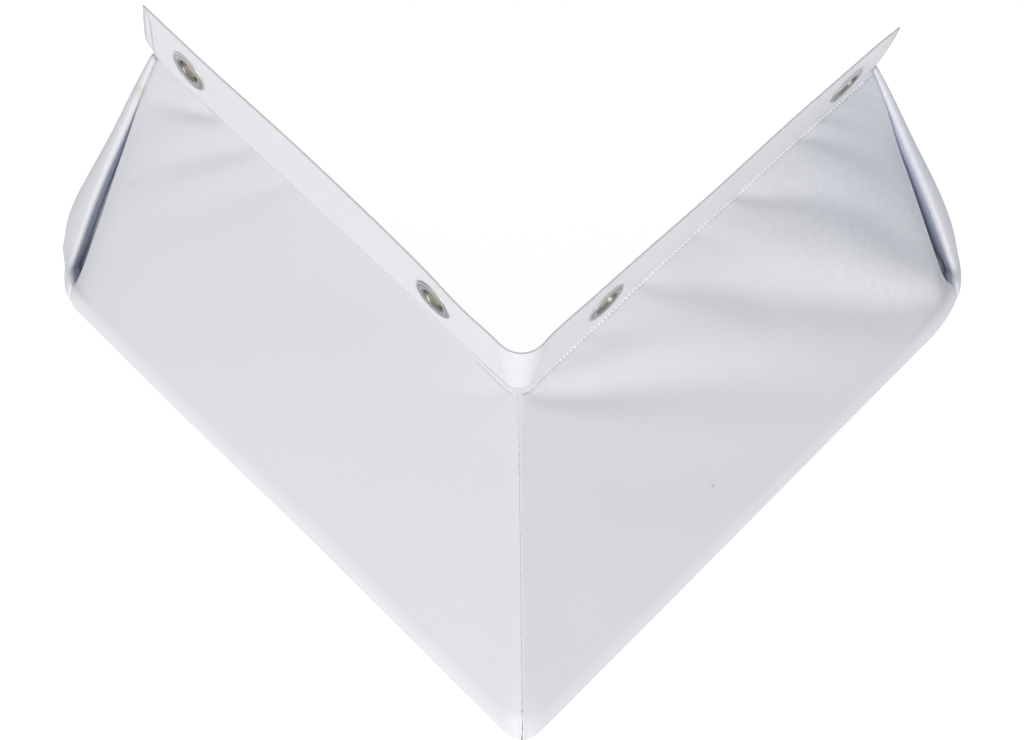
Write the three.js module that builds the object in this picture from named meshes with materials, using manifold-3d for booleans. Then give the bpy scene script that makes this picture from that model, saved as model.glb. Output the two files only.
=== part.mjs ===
// Dock corner bumper: two foam arms in a sewn vinyl cover, joined in a mitre at the dock's corner.
// A flat flange with grommets runs along the top and the bottom, and screws hold it to the dock.
//
// Frame, in millimetres: the Z axis is the edge of the dock's corner, with z = 0 at mid height.
// The dock fills x > 0, y > 0. The right arm lies along +X and the left arm along +Y.
// An arm is built in its own terms and then placed:
//   run    distance along the arm from the mitre plane
//   reach  distance outwards from the dock's face
import * as THREE from 'three';
import { mergeVertices } from 'three/addons/utils/BufferGeometryUtils.js';
import Module from 'manifold-3d';

const wasm = await Module();
wasm.setup();

// Driving dimensions
const ARM_LENGTH = 305;
const BACK_HEIGHT = 192;
const FLANGE_HEIGHT = 50;
const DEPTH = 125;
const RIDGE_LENGTH = 278;
const END_SWELL = 1.8;
const NOSE_RADIUS = 16;
const VINYL = 1;
const CLEARANCE = 0.3;

// How the ridge turns in towards the dock near the end of each arm
const RIDGE_TURN_RADIUS = 28;
const RIDGE_TURN_START = 22;

// The bend of the flat layers round the dock's corner, at the seams and at the free edges
const SEAM_BEND = 7;
const EDGE_BEND = 15;
const BEND_FADE = 14;

// How far the free edge of the upper flange leans away from the dock
const LEAN_LEFT_END = 0;
const LEAN_CORNER = 2.8;
const LEAN_RIGHT_END = 5;

// The folded end: cover lip, pocket, rolled rim and bulging panel.
// The lip's two distances are from the ends of the arm and of the ridge.
const LIP_SET_SEAM = 6;
const LIP_SET_RIDGE = 10;
const LIP_DEPTH_SEAM = 3;
const LIP_DEPTH_RIDGE = 6;
const FOLD_RADIUS = 1.6;
const POCKET_SEAM = 1;
const POCKET_RIDGE = 4.5;
const END_BULGE = 6;

// Grommets: a hole for a screw, two to each flange of each arm
const GROMMET_HOLE = 12.7;
const GROMMET_WIDTH = 27;
const GROMMET_METAL = 0.9;
const GROMMET_CROWN = 1.5;
const GROMMET_ROLL = 1.9;
const WASHER_WIDTH = 25;
const WASHER_THICKNESS = 0.7;
const GROMMET_FROM_CORNER = 63.5;
const GROMMET_FROM_END = 38.3;
const GROMMET_SIDES = 20;

// Smoothness of the curved stretches
const NOSE_STEPS = 8;
const BEND_STEPS = 6;
const SLOPE_SHARES = [0, 0.03, 0.06, 0.1, 0.4, 0.7];
const RUN_SHARES = [0.1, 0.4, 0.75, 0.88];
const MITRE_RUNS = [0, 1.5, 3.5, 6, 9];
const LAST_MITRE_RUN = MITRE_RUNS[MITRE_RUNS.length - 1];
const ROLL_ANGLES = [0, 30, 60, 90].map(THREE.MathUtils.degToRad);
const DOME_SHARES = [0.8, 0.5, 0.2];

// Sizes that follow from the driving ones
const SEAM_Z = BACK_HEIGHT / 2;
const EDGE_Z = SEAM_Z + FLANGE_HEIGHT;
const LAYER = VINYL + CLEARANCE;
const STRIP_FRONT = LAYER + VINYL;
const NOSE_CENTRE = DEPTH - NOSE_RADIUS;
const MITRE_RUN = CLEARANCE / Math.SQRT2;
const GROMMET_Z = SEAM_Z + FLANGE_HEIGHT / 2;
const DOME_REACH = NOSE_CENTRE * 0.43;

const { lerp, clamp } = THREE.MathUtils;

const vinylWhite = { color: 0xdedfe4, roughness: 0.55, metalness: 0 };
const backWhite = { color: 0xd6d6d9, roughness: 0.6, metalness: 0 };
const foamGrey = { color: 0xb9bcc0, roughness: 0.9, metalness: 0 };
const nickel = { color: 0xb8b6ae, roughness: 0.32, metalness: 1 };

// Section of an arm

// The upper face runs straight from the seam to the nose, where it meets the round of the ridge.
const slopeSpan = Math.hypot(NOSE_CENTRE - LAYER, SEAM_Z);
const slopeFall = Math.atan2(SEAM_Z, NOSE_CENTRE - LAYER) - Math.asin(NOSE_RADIUS / slopeSpan);
const slopeNormal = [Math.sin(slopeFall), Math.cos(slopeFall)];
const slopeDistance = slopeNormal[0] * LAYER + slopeNormal[1] * SEAM_Z;

// Height of the upper face, set in by inset, at a reach from the dock.
function slopeHeight(inset, reach) {
  return (slopeDistance - inset - slopeNormal[0] * reach) / slopeNormal[1];
}

// One side of the section from the seam round the nose to the other seam, as [reach, z] points.
function frontLine(inset, back) {
  const radius = NOSE_RADIUS - inset;
  const turn = Math.PI / 2 - slopeFall;
  const seam = [back, slopeHeight(inset, back)];
  const tangent = [NOSE_CENTRE + radius * Math.cos(turn), radius * Math.sin(turn)];
  const upper = SLOPE_SHARES.map((share) => [
    lerp(seam[0], tangent[0], share),
    lerp(seam[1], tangent[1], share),
  ]);
  const nose = [];
  for (let i = 0; i <= NOSE_STEPS; i++) {
    const angle = lerp(turn, -turn, i / NOSE_STEPS);
    nose.push([NOSE_CENTRE + radius * Math.cos(angle), radius * Math.sin(angle)]);
  }
  const lower = upper.map(([reach, z]) => [reach, -z]).reverse();
  return [...upper, ...nose, ...lower];
}

// The whole outline: the front line, closed along the dock side from the lower seam to the upper one.
function closedLine(inset, back) {
  const front = frontLine(inset, back);
  const seamZ = front[0][1];
  const backSteps = 4;
  const rear = [];
  for (let i = 1; i < backSteps; i++) {
    rear.push([back, lerp(-seamZ, seamZ, i / backSteps)]);
  }
  return [...front, ...rear];
}

// Placing an arm

// The seam end of the cover is rounded at the corner, and the round fades out down the slope.
function cornerRound(reach) {
  const fade = 1 - (reach - LAYER) / BEND_FADE;
  return (SEAM_BEND + LAYER) * clamp(fade, 0, 1);
}

// How far the turned ridge draws a point in towards the dock.
function ridgeTurn(x, reach) {
  const past = clamp(x - (RIDGE_LENGTH - RIDGE_TURN_START), 0, RIDGE_TURN_RADIUS * 0.98);
  const drawn = RIDGE_TURN_RADIUS - Math.sqrt(RIDGE_TURN_RADIUS ** 2 - past ** 2);
  return drawn * Math.max(0, reach / DEPTH) ** 3;
}

// A point of the right arm from its run, reach and height.
function armPoint(run, reach, z) {
  const round = cornerRound(reach);
  if (run < round) {
    const x = (1 - Math.SQRT1_2) * round + run * Math.SQRT1_2;
    const inwards = round - Math.sqrt(round ** 2 - (round - x) ** 2);
    return [x - reach, inwards - reach, z];
  }
  const x = run - reach;
  return [x, ridgeTurn(x, reach) - reach, z];
}

function towardsRidge(reach) {
  return clamp(reach / DEPTH, 0, 1);
}

// Where the arm ends at a reach: a swelling curve from the end at the dock to the end of the ridge.
function endX(reach) {
  return lerp(ARM_LENGTH, RIDGE_LENGTH, towardsRidge(reach) ** END_SWELL);
}

// The lip of the cover lies on a straight slant.
function lipX(reach) {
  return lerp(ARM_LENGTH - LIP_SET_SEAM, RIDGE_LENGTH - LIP_SET_RIDGE, towardsRidge(reach));
}

function pocketWidth(reach) {
  return lerp(POCKET_SEAM, POCKET_RIDGE, towardsRidge(reach) ** 2);
}

function rimStart(reach) {
  return lipX(reach) + pocketWidth(reach);
}

function rimWidth(reach) {
  return endX(reach) - rimStart(reach);
}

// Surfaces and solids

function middleOf(ring) {
  return ring.reduce((sum, point) => sum.map((value, k) => value + point[k] / ring.length), [0, 0, 0]);
}

// A grid of points as a closed sheet: outer and inner faces and the edges between them.
// With loop set, each row closes on itself; with capped set, the last row is closed by a fan.
function sheetGeometry(outer, inner, { loop = false, capped = false } = {}) {
  const rows = outer.length;
  const columns = outer[0].length;
  const points = [...outer.flat(), ...inner.flat()];
  const shift = rows * columns;
  const faces = [];
  const at = (row, column) => row * columns + (column % columns);
  const quad = (a, b, c, d) => faces.push([a, b, c], [a, c, d]);
  const behind = (a, b, c, d) => faces.push([c, b, a], [d, c, a]);
  const lastColumn = loop ? columns : columns - 1;
  for (let row = 0; row < rows - 1; row++) {
    for (let column = 0; column < lastColumn; column++) {
      const [a, b] = [at(row, column), at(row, column + 1)];
      const [c, d] = [at(row + 1, column + 1), at(row + 1, column)];
      quad(a, b, c, d);
      behind(shift + a, shift + b, shift + c, shift + d);
    }
  }
  for (let column = 0; column < lastColumn; column++) {
    const [a, b] = [at(0, column), at(0, column + 1)];
    quad(b, a, shift + a, shift + b);
    if (!capped) {
      const [c, d] = [at(rows - 1, column), at(rows - 1, column + 1)];
      quad(c, d, shift + d, shift + c);
    }
  }
  if (!loop) {
    for (let row = 0; row < rows - 1; row++) {
      const [a, b] = [at(row, 0), at(row + 1, 0)];
      quad(a, b, shift + b, shift + a);
      const [c, d] = [at(row, columns - 1), at(row + 1, columns - 1)];
      quad(d, c, shift + c, shift + d);
    }
  }
  if (capped) {
    points.push(middleOf(outer[rows - 1]), middleOf(inner[rows - 1]));
    const top = points.length - 2;
    for (let column = 0; column < columns; column++) {
      const [a, b] = [at(rows - 1, column), at(rows - 1, column + 1)];
      faces.push([a, b, top], [shift + b, shift + a, top + 1]);
    }
  }
  return meshGeometry(points, faces);
}

// Closed rings joined into a solid with flat ends.
function loftGeometry(rings) {
  const size = rings[0].length;
  const points = rings.flat();
  const faces = [];
  for (let ring = 0; ring < rings.length - 1; ring++) {
    for (let i = 0; i < size; i++) {
      const next = (i + 1) % size;
      const [a, b] = [ring * size + i, ring * size + next];
      const [c, d] = [b + size, a + size];
      faces.push([a, b, c], [a, c, d]);
    }
  }
  points.push(middleOf(rings[0]), middleOf(rings[rings.length - 1]));
  const [first, last] = [points.length - 2, points.length - 1];
  const end = (rings.length - 1) * size;
  for (let i = 0; i < size; i++) {
    const next = (i + 1) % size;
    faces.push([next, i, first], [end + i, end + next, last]);
  }
  return meshGeometry(points, faces);
}

// Points and faces as a geometry whose faces point outwards.
function meshGeometry(points, faces) {
  let volume = 0;
  for (const [a, b, c] of faces) {
    const [p, q, r] = [points[a], points[b], points[c]];
    volume += p[0] * (q[1] * r[2] - q[2] * r[1]);
    volume += p[1] * (q[2] * r[0] - q[0] * r[2]);
    volume += p[2] * (q[0] * r[1] - q[1] * r[0]);
  }
  const outwards = volume > 0 ? faces : faces.map(([a, b, c]) => [a, c, b]);
  const geometry = new THREE.BufferGeometry();
  geometry.setAttribute('position', new THREE.Float32BufferAttribute(points.flat(), 3));
  geometry.setIndex(outwards.flat());
  geometry.computeVertexNormals();
  return geometry;
}

function toSolid(geometry) {
  const bare = geometry.clone();
  bare.deleteAttribute('normal');
  bare.deleteAttribute('uv');
  const merged = mergeVertices(bare, 1e-4);
  return new wasm.Manifold(
    new wasm.Mesh({
      numProp: 3,
      vertProperties: new Float32Array(merged.attributes.position.array),
      triVerts: new Uint32Array(merged.index.array),
    }),
  );
}

function fromSolid(solid) {
  const mesh = solid.getMesh();
  const geometry = new THREE.BufferGeometry();
  geometry.setAttribute('position', new THREE.Float32BufferAttribute(mesh.vertProperties, 3));
  geometry.setIndex([...mesh.triVerts]);
  geometry.computeVertexNormals();
  return geometry;
}

// The left arm is the right arm with X and Y exchanged.
function forSide(side, [x, y, z]) {
  return side === 'right' ? [x, y, z] : [y, x, z];
}

function named(name, geometry, look) {
  const mesh = new THREE.Mesh(geometry, new THREE.MeshStandardMaterial(look));
  mesh.name = name;
  return mesh;
}

// The folded end

// The fold along a lip, as [distance from the lip, inset] steps from its edge out to the face.
const foldShare = 1 - Math.SQRT1_2;
const foldOuter = [
  [0, FOLD_RADIUS],
  [FOLD_RADIUS * foldShare, FOLD_RADIUS * foldShare],
];
const foldInner = [
  [VINYL, FOLD_RADIUS],
  [lerp(VINYL, FOLD_RADIUS, foldShare), lerp(VINYL, FOLD_RADIUS, foldShare)],
];

// A line whose inset changes with the reach. The line is coverLine or panelLine.
function insetLine(line, insetAt) {
  return line(0).map(([reach], i) => line(insetAt(reach))[i]);
}

function lipDepth(reach) {
  return lerp(LIP_DEPTH_SEAM, LIP_DEPTH_RIDGE, towardsRidge(reach));
}

// Points of a line placed on an arm, each at x(reach).
function placed(side, line, xAt) {
  return line.map(([reach, z]) => forSide(side, armPoint(xAt(reach) + reach, reach, z)));
}

const coverLine = (inset) => frontLine(inset, LAYER);
const panelLine = (inset) => closedLine(inset, LAYER + inset);

// The rolled rim and the dome of an arm's end, at a depth under their outside.
function endRings(side, deep) {
  const rings = [];
  const rimRadius = (reach) => rimWidth(reach) - FOLD_RADIUS;
  for (const angle of ROLL_ANGLES) {
    const line = insetLine(panelLine, (reach) => lerp(deep, rimRadius(reach), 1 - Math.cos(angle)));
    const rolled = (reach) => (rimWidth(reach) - FOLD_RADIUS - deep) * Math.sin(angle);
    rings.push(placed(side, line, (reach) => rimStart(reach) + FOLD_RADIUS + rolled(reach)));
  }
  const rim = insetLine(panelLine, rimRadius);
  for (const share of DOME_SHARES) {
    const line = rim.map(([reach, z]) => [lerp(DOME_REACH, reach, share), z * share]);
    rings.push(placed(side, line, (reach) => endX(reach) - deep + END_BULGE * (1 - share ** 2)));
  }
  return rings;
}

// The panel that closes an arm: a lip turned in behind the pocket, then the rolled rim and the dome.
function endPanel(side) {
  const skin = (deep, fold) => {
    const lip = insetLine(panelLine, lipDepth);
    const folded = fold.map(([set, inset]) =>
      placed(side, panelLine(inset), (reach) => rimStart(reach) + set),
    );
    return [placed(side, lip, (reach) => rimStart(reach) + deep), ...folded, ...endRings(side, deep)];
  };
  const shape = sheetGeometry(skin(0, foldOuter), skin(VINYL, foldInner), { loop: true, capped: true });
  return named(`end_panel_${side}`, shape, vinylWhite);
}

// Front cover

// The vinyl panel of one arm, from the mitre to the lip that turns in at the end of the arm.
function frontCover(side) {
  const skin = (deep, fold) => {
    const line = coverLine(deep);
    const near = MITRE_RUNS.map((run) => placed(side, line, (reach) => run + MITRE_RUN - reach));
    const foldStart = (reach) => lipX(reach) - FOLD_RADIUS;
    const far = [...RUN_SHARES, 1].map((share) =>
      placed(side, line, (reach) => lerp(LAST_MITRE_RUN - reach, foldStart(reach), share)),
    );
    const folded = [...fold]
      .reverse()
      .map(([set, inset]) => placed(side, coverLine(inset), (reach) => lipX(reach) - set));
    const lip = insetLine(coverLine, lipDepth);
    return [...near, ...far, ...folded, placed(side, lip, (reach) => lipX(reach) - deep)];
  };
  const shape = sheetGeometry(skin(0, foldOuter), skin(VINYL, foldInner));
  return named(`front_cover_${side}`, shape, vinylWhite);
}

// Foam

// The block fills the cover, narrows to a neck behind the lips and fills the end panel beyond it.
function foamBlock(side) {
  const neck = closedLine(LIP_DEPTH_RIDGE + CLEARANCE, LAYER + LIP_DEPTH_RIDGE + CLEARANCE);
  const block = closedLine(LAYER, LAYER);
  const bodyEnd = (reach) => lipX(reach) - FOLD_RADIUS;
  const headStart = (reach) => rimStart(reach) + FOLD_RADIUS;
  const near = MITRE_RUNS.map((run) => placed(side, block, (reach) => run + MITRE_RUN - reach));
  const far = [...RUN_SHARES, 1].map((share) =>
    placed(side, block, (reach) => lerp(LAST_MITRE_RUN - reach, bodyEnd(reach), share)),
  );
  const neckRings = [placed(side, neck, bodyEnd), placed(side, neck, headStart)];
  const shape = loftGeometry([...near, ...far, ...neckRings, ...endRings(side, LAYER)]);
  return named(`foam_${side}`, shape, foamGrey);
}

// Flat layers

// Bend radius on the dock side at a height.
function bendRadius(z) {
  return lerp(SEAM_BEND, EDGE_BEND, clamp((Math.abs(z) - SEAM_Z) / FLANGE_HEIGHT, 0, 1));
}

// How far the upper flange leans out at a height: place runs from -1 at the left end to 1 at the right.
function leanAt(place, z) {
  const end = place < 0 ? LEAN_LEFT_END : LEAN_RIGHT_END;
  const full = lerp(LEAN_CORNER, end, Math.abs(place));
  return full * clamp((z - SEAM_Z) / FLANGE_HEIGHT, 0, 1);
}

// A row of points from the left end round the corner to the right end, at an offset from the dock.
function layerRow(offset, z) {
  const bend = bendRadius(z);
  const row = [];
  const shares = [1, 0.75, 0.5, 0.25];
  for (const share of shares) {
    row.push([-offset - leanAt(-share, z), lerp(bend, ARM_LENGTH, share), z]);
  }
  for (let i = 0; i <= BEND_STEPS; i++) {
    const angle = (i / BEND_STEPS) * (Math.PI / 2);
    const radius = bend + offset + leanAt(0, z);
    row.push([bend - radius * Math.cos(angle), bend - radius * Math.sin(angle), z]);
  }
  for (const share of [...shares].reverse()) {
    row.push([lerp(bend, ARM_LENGTH, share), -offset - leanAt(share, z), z]);
  }
  return row;
}

function layerGeometry(front, heights) {
  const outer = heights.map((z) => layerRow(front, z));
  const inner = heights.map((z) => layerRow(front - VINYL, z));
  return sheetGeometry(outer, inner);
}

// Grommets

// Each grommet's place: side, run along the dock, height, and the way it faces.
const grommetPlaces = [];
for (const level of ['upper', 'lower']) {
  for (const side of ['left', 'right']) {
    const z = level === 'upper' ? GROMMET_Z : -GROMMET_Z;
    grommetPlaces.push({ level, side, position: 'near', along: GROMMET_FROM_CORNER, z });
    grommetPlaces.push({ level, side, position: 'far', along: ARM_LENGTH - GROMMET_FROM_END, z });
  }
}

// The frame of a grommet: its axis points out from the dock, square to the leaning flange.
function grommetFrame({ side, along, z }) {
  const share = ((along - bendRadius(z)) / (ARM_LENGTH - bendRadius(z))) * (side === 'left' ? -1 : 1);
  const lean = leanAt(share, z);
  const rise = z > 0 ? leanAt(share, EDGE_Z) / FLANGE_HEIGHT : 0;
  const spot = forSide(side, [along, -STRIP_FRONT - lean, z]);
  const facing = forSide(side, [0, -1, -rise]);
  const frame = new THREE.Group();
  frame.position.set(...spot);
  frame.quaternion.setFromUnitVectors(
    new THREE.Vector3(0, 1, 0),
    new THREE.Vector3(...facing).normalize(),
  );
  frame.updateMatrixWorld();
  return frame;
}

const barrelRadius = GROMMET_HOLE / 2 + GROMMET_METAL;
const washerTop = -STRIP_FRONT - CLEARANCE;
const washerFoot = washerTop - WASHER_THICKNESS;
const rollTop = washerFoot - CLEARANCE;

// The eyelet in section: a crowned ring on the vinyl, a barrel through it and a roll over the washer.
function eyeletGeometry() {
  const hole = GROMMET_HOLE / 2;
  const outer = GROMMET_WIDTH / 2;
  const crown = CLEARANCE + GROMMET_CROWN;
  const rollFoot = rollTop - GROMMET_ROLL / 2;
  const profile = [
    [outer, CLEARANCE],
    [outer, CLEARANCE + GROMMET_METAL * 0.5],
    [lerp(hole, outer, 0.78), crown * 0.93],
    [lerp(hole, outer, 0.45), crown],
    [lerp(hole, outer, 0.12), crown * 0.5],
    [hole, -GROMMET_METAL],
    [hole, rollFoot],
    [barrelRadius, rollFoot - GROMMET_METAL * 0.5],
    [barrelRadius + GROMMET_ROLL, rollFoot],
    [barrelRadius + GROMMET_ROLL, rollTop],
    [barrelRadius, rollTop],
    [barrelRadius, CLEARANCE],
  ];
  return ringGeometry(profile);
}

function washerGeometry() {
  const inner = barrelRadius + CLEARANCE;
  const outer = WASHER_WIDTH / 2;
  const profile = [
    [inner, washerTop],
    [inner, washerFoot],
    [outer - WASHER_THICKNESS, washerFoot],
    [outer, lerp(washerTop, washerFoot, 0.6)],
    [outer, washerTop],
  ];
  return ringGeometry(profile);
}

// A closed profile of [radius, height] points turned about the axis.
function ringGeometry(profile) {
  const points = [...profile, profile[0]].map(([radius, height]) => new THREE.Vector2(radius, height));
  const lathe = new THREE.LatheGeometry(points, GROMMET_SIDES);
  return fromSolid(outwardSolid(lathe));
}

function outwardSolid(geometry) {
  const bare = geometry.clone();
  bare.deleteAttribute('normal');
  bare.deleteAttribute('uv');
  const merged = mergeVertices(bare, 1e-4);
  const position = merged.attributes.position;
  const points = [];
  for (let i = 0; i < position.count; i++) {
    points.push([position.getX(i), position.getY(i), position.getZ(i)]);
  }
  const faces = [];
  for (let i = 0; i < merged.index.count; i += 3) {
    const face = [merged.index.getX(i), merged.index.getX(i + 1), merged.index.getX(i + 2)];
    if (new Set(face).size === 3) {
      faces.push(face);
    }
  }
  return toSolid(meshGeometry(points, faces));
}

// A flat layer with a hole punched for each grommet that passes through it.
function punched(geometry, places) {
  const radius = barrelRadius + CLEARANCE;
  let solid = toSolid(geometry);
  for (const place of places) {
    const punch = new THREE.CylinderGeometry(radius, radius, STRIP_FRONT * 6, GROMMET_SIDES);
    punch.applyMatrix4(grommetFrame(place).matrixWorld);
    solid = solid.subtract(outwardSolid(punch));
  }
  return fromSolid(solid);
}

// Assembly

const bumper = new THREE.Group();
bumper.name = 'dock_corner_bumper';

for (const side of ['left', 'right']) {
  bumper.add(foamBlock(side));
  bumper.add(frontCover(side));
  bumper.add(endPanel(side));
}

const flangeShares = [0, 0.25, 0.5, 0.75, 1];
const upperHeights = (foot) => flangeShares.map((share) => lerp(foot, EDGE_Z, share));
const mirrored = (heights) => heights.map((z) => -z);

const backHeights = [...mirrored(upperHeights(SEAM_Z)).reverse(), 0, ...upperHeights(SEAM_Z)];
const backShape = punched(layerGeometry(VINYL, backHeights), grommetPlaces);
bumper.add(named('back_panel', backShape, backWhite));

const stripHeights = upperHeights(SEAM_Z + CLEARANCE);
for (const level of ['upper', 'lower']) {
  const heights = level === 'upper' ? stripHeights : mirrored(stripHeights);
  const places = grommetPlaces.filter((place) => place.level === level);
  const stripShape = punched(layerGeometry(STRIP_FRONT, heights), places);
  bumper.add(named(`${level}_flange_strip`, stripShape, vinylWhite));
}

for (const place of grommetPlaces) {
  const frame = grommetFrame(place);
  const label = `${place.level}_${place.side}_${place.position}`;
  frame.add(named(`eyelet_${label}`, eyeletGeometry(), nickel));
  frame.add(named(`washer_${label}`, washerGeometry(), nickel));
  bumper.add(frame);
}

export default bumper;
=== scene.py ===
"""Dock corner bumper: the dressed model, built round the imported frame.

Two padded arms in white vinyl meet in a mitre at the corner of a dock. Flat flanges with grommets run
above and below them. Shapes are worked out in millimetres, as in the part's source, and go into the
meshes in metres. An arm has its own terms: x is the way along the dock from the corner, reach the
distance outwards from the dock's face and z the height. The left arm is the right one with X and Y
exchanged.
"""

import math

import bpy
import numpy as np
from mathutils import Matrix, Vector


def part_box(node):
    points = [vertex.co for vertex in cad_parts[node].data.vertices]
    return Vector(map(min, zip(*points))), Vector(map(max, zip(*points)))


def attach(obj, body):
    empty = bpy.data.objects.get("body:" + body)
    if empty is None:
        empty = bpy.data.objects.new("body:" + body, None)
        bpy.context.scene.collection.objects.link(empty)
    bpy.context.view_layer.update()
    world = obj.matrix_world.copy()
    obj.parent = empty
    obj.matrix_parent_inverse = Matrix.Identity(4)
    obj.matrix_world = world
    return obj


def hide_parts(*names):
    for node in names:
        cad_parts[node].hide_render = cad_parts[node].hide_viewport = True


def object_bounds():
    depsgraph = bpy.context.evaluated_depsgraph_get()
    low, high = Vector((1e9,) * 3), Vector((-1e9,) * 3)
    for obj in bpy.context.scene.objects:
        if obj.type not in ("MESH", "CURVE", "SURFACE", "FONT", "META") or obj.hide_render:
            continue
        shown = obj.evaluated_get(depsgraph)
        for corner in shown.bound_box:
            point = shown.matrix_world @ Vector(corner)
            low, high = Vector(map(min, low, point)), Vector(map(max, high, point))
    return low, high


bl_info = {
    "name": "Dock Corner Bumper",
    "version": (1, 0, 0),
    "blender": (4, 5, 0),
    "location": "3D View > Sidebar > Bumper",
    "description": "Builds the covers, flanges, grommets and seams of a padded dock corner bumper",
    "category": "Object",
}

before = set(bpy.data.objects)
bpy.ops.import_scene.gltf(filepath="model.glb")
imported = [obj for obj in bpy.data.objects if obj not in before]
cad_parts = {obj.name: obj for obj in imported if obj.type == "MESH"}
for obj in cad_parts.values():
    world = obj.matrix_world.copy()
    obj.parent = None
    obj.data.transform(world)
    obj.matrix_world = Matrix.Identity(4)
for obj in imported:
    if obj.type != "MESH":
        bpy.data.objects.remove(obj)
CAD_BOX = [list(corner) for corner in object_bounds()]

MM = 0.001
SIDES = ("left", "right")
LEVELS = {"upper": 1, "lower": -1}


def box_mm(node):
    """Lowest and highest corners of a CAD node, in millimetres."""
    low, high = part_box(node)
    return np.array(low) / MM, np.array(high) / MM


# Sizes that the frame gives
BACK_HIGH = box_mm("back_panel")[1]
COVER_LOW, COVER_HIGH = box_mm("front_cover_right")
STRIP_LOW = box_mm("lower_flange_strip")[0]
ARM_LENGTH = BACK_HIGH[0]
EDGE_Z = BACK_HIGH[2]
SEAM_Z = COVER_HIGH[2]
DEPTH = -COVER_LOW[1]
STRIP_FRONT = -STRIP_LOW[1]

# Sizes shared with the part's source
VINYL = 1.0
CLEARANCE = 0.3
LAYER = VINYL + CLEARANCE
NOSE_RADIUS = 16.0
NOSE_CENTRE = DEPTH - NOSE_RADIUS
BEND_FADE = 14.0
FLANGE_HEIGHT = EDGE_Z - SEAM_Z
FOLD_RADIUS = 1.6
GROMMET_HOLE = 12.7
GROMMET_METAL = 0.9
WASHER_THICKNESS = 0.7
WASHER_RADIUS = 12.5
GROMMET_NEAR = 63.5
GROMMET_FAR = ARM_LENGTH - 38.3
GROMMET_Z = SEAM_Z + FLANGE_HEIGHT / 2
DOME_REACH = NOSE_CENTRE * 0.43
END_BULGE = 6.0

# Radii of the bend round the dock's corner at the seams and at the free edges, fitted to the soft object, and
# the stretch to either side of the corner over which the layers are shared out on it
SEAM_BEND = 8.5
EDGE_BEND = 13.0
BEND_SPAN = 15.0

# The vinyl of the flanges is drawn thinner than the part's, and pinched together at the free edges
FLANGE_VINYL = 0.45
EDGE_PINCH = 0.7
PINCH_WIDTH = 12.0

# How far the free edge of the upper flange leans out from the dock, as (along, lean) places. The way along
# is negative on the left arm.
LEAN = (
    (-305, -0.6), (-146, -0.5), (-112, 0.1), (-96, 0.8), (-80, 1.5), (-64, 2.5), (-49, 3.9), (-32, 4.1),
    (-15, 3.3), (0, 5.4), (14, 2.2), (31, 2.2), (66, 2.9), (101, 3.3), (156, 4.0), (212, 4.4), (288, 5.0),
    (305, 6.6),
)

# The two arms of the soft object differ a little. A ridge turns in on (radius, start before its end), and the
# depth is scaled at the corner and at the end.
RIDGE_LENGTH = {"left": 274.5, "right": 284.5}
RIDGE_TURN = {"left": (45.0, 23.0), "right": (110.0, 45.0)}
RIDGE_EASE = 5.0
DEPTH_SCALE = {"left": (0.9705, 0.988), "right": (1.029, 1.026)}
DEPTH_CHANGE = (20, 190)

# The folded end: the lip's slant and power, the outline's power and bow, the roll of the rim, the pocket, the
# lip's turn in at the seam and at the ridge, and the deepest inset at the nose and on the slope
LIP_AT_SEAM = 301.5
LIP_AT_RIDGE = {"left": 261.0, "right": 273.0}
LIP_CURVE = {"left": 1.15, "right": 1.35}
END_SWELL = {"left": 5.4, "right": 4.8}
END_BOW = {"left": -4.2, "right": 0.6}
RIM_DEPTH = 9.5
POCKET_WIDTH = {"left": 9.3, "right": 7.2}
POCKET_SEAM = 0.7
LIP_DEPTH = (3.0, 11.0)
DEEPEST_TUCK = (14.3, 26.0)
COVER_FOLD = 3.2
PUCKERS = ((0.5, 14.0, 0.0), (0.35, 31.0, 1.0))
PUCKER_SIZE = 9

# How far the cover's upper edge rises along the arm and is pushed out before the flange. It rises and falls
# between these places along the arm, by height, and outwards from the seam.
EDGE_RISE = {"left": (0.0, 0.0), "right": (9.0, 1.0)}
RISE_ALONG, RISE_FALL, END_LOSS = (0, 120), (225, 302), 0.75
RISE_HEIGHT, RISE_OUT, PUSH_LENGTH = (20, 60), (15, 105), 8

# Fall of the upper face, and the turn of the nose from its highest tangent to level
SLOPE_SPAN = math.hypot(NOSE_CENTRE - LAYER, SEAM_Z)
SLOPE_FALL = math.atan2(SEAM_Z, NOSE_CENTRE - LAYER) - math.asin(NOSE_RADIUS / SLOPE_SPAN)
NOSE_TURN = math.pi / 2 - SLOPE_FALL
SLOPE_DISTANCE = math.sin(SLOPE_FALL) * LAYER + math.cos(SLOPE_FALL) * SEAM_Z


def lerp(a, b, share):
    """a at share 0, b at share 1, and a straight line between and past them."""
    return a + (b - a) * share


def smooth(low, high, value):
    """0 below low, 1 above high, and 3t^2 - 2t^3 between them."""
    t = np.clip((value - low) / (high - low), 0, 1)
    return t * t * (3 - 2 * t)


def bell(value, width, centre=0):
    """exp(-((value - centre) / width)^2)."""
    return np.exp(-(((value - centre) / width) ** 2))


def folded(q):
    """The place on the upper half of the section that mirrors a place on the lower half."""
    return np.where(q > 1.5, 3 - q, q)


# Arms


def slope_height(inset, reach):
    """Height of the upper face, set in by inset: a straight fall from the seam."""
    return (SLOPE_DISTANCE - inset - math.sin(SLOPE_FALL) * reach) / math.cos(SLOPE_FALL)


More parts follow.
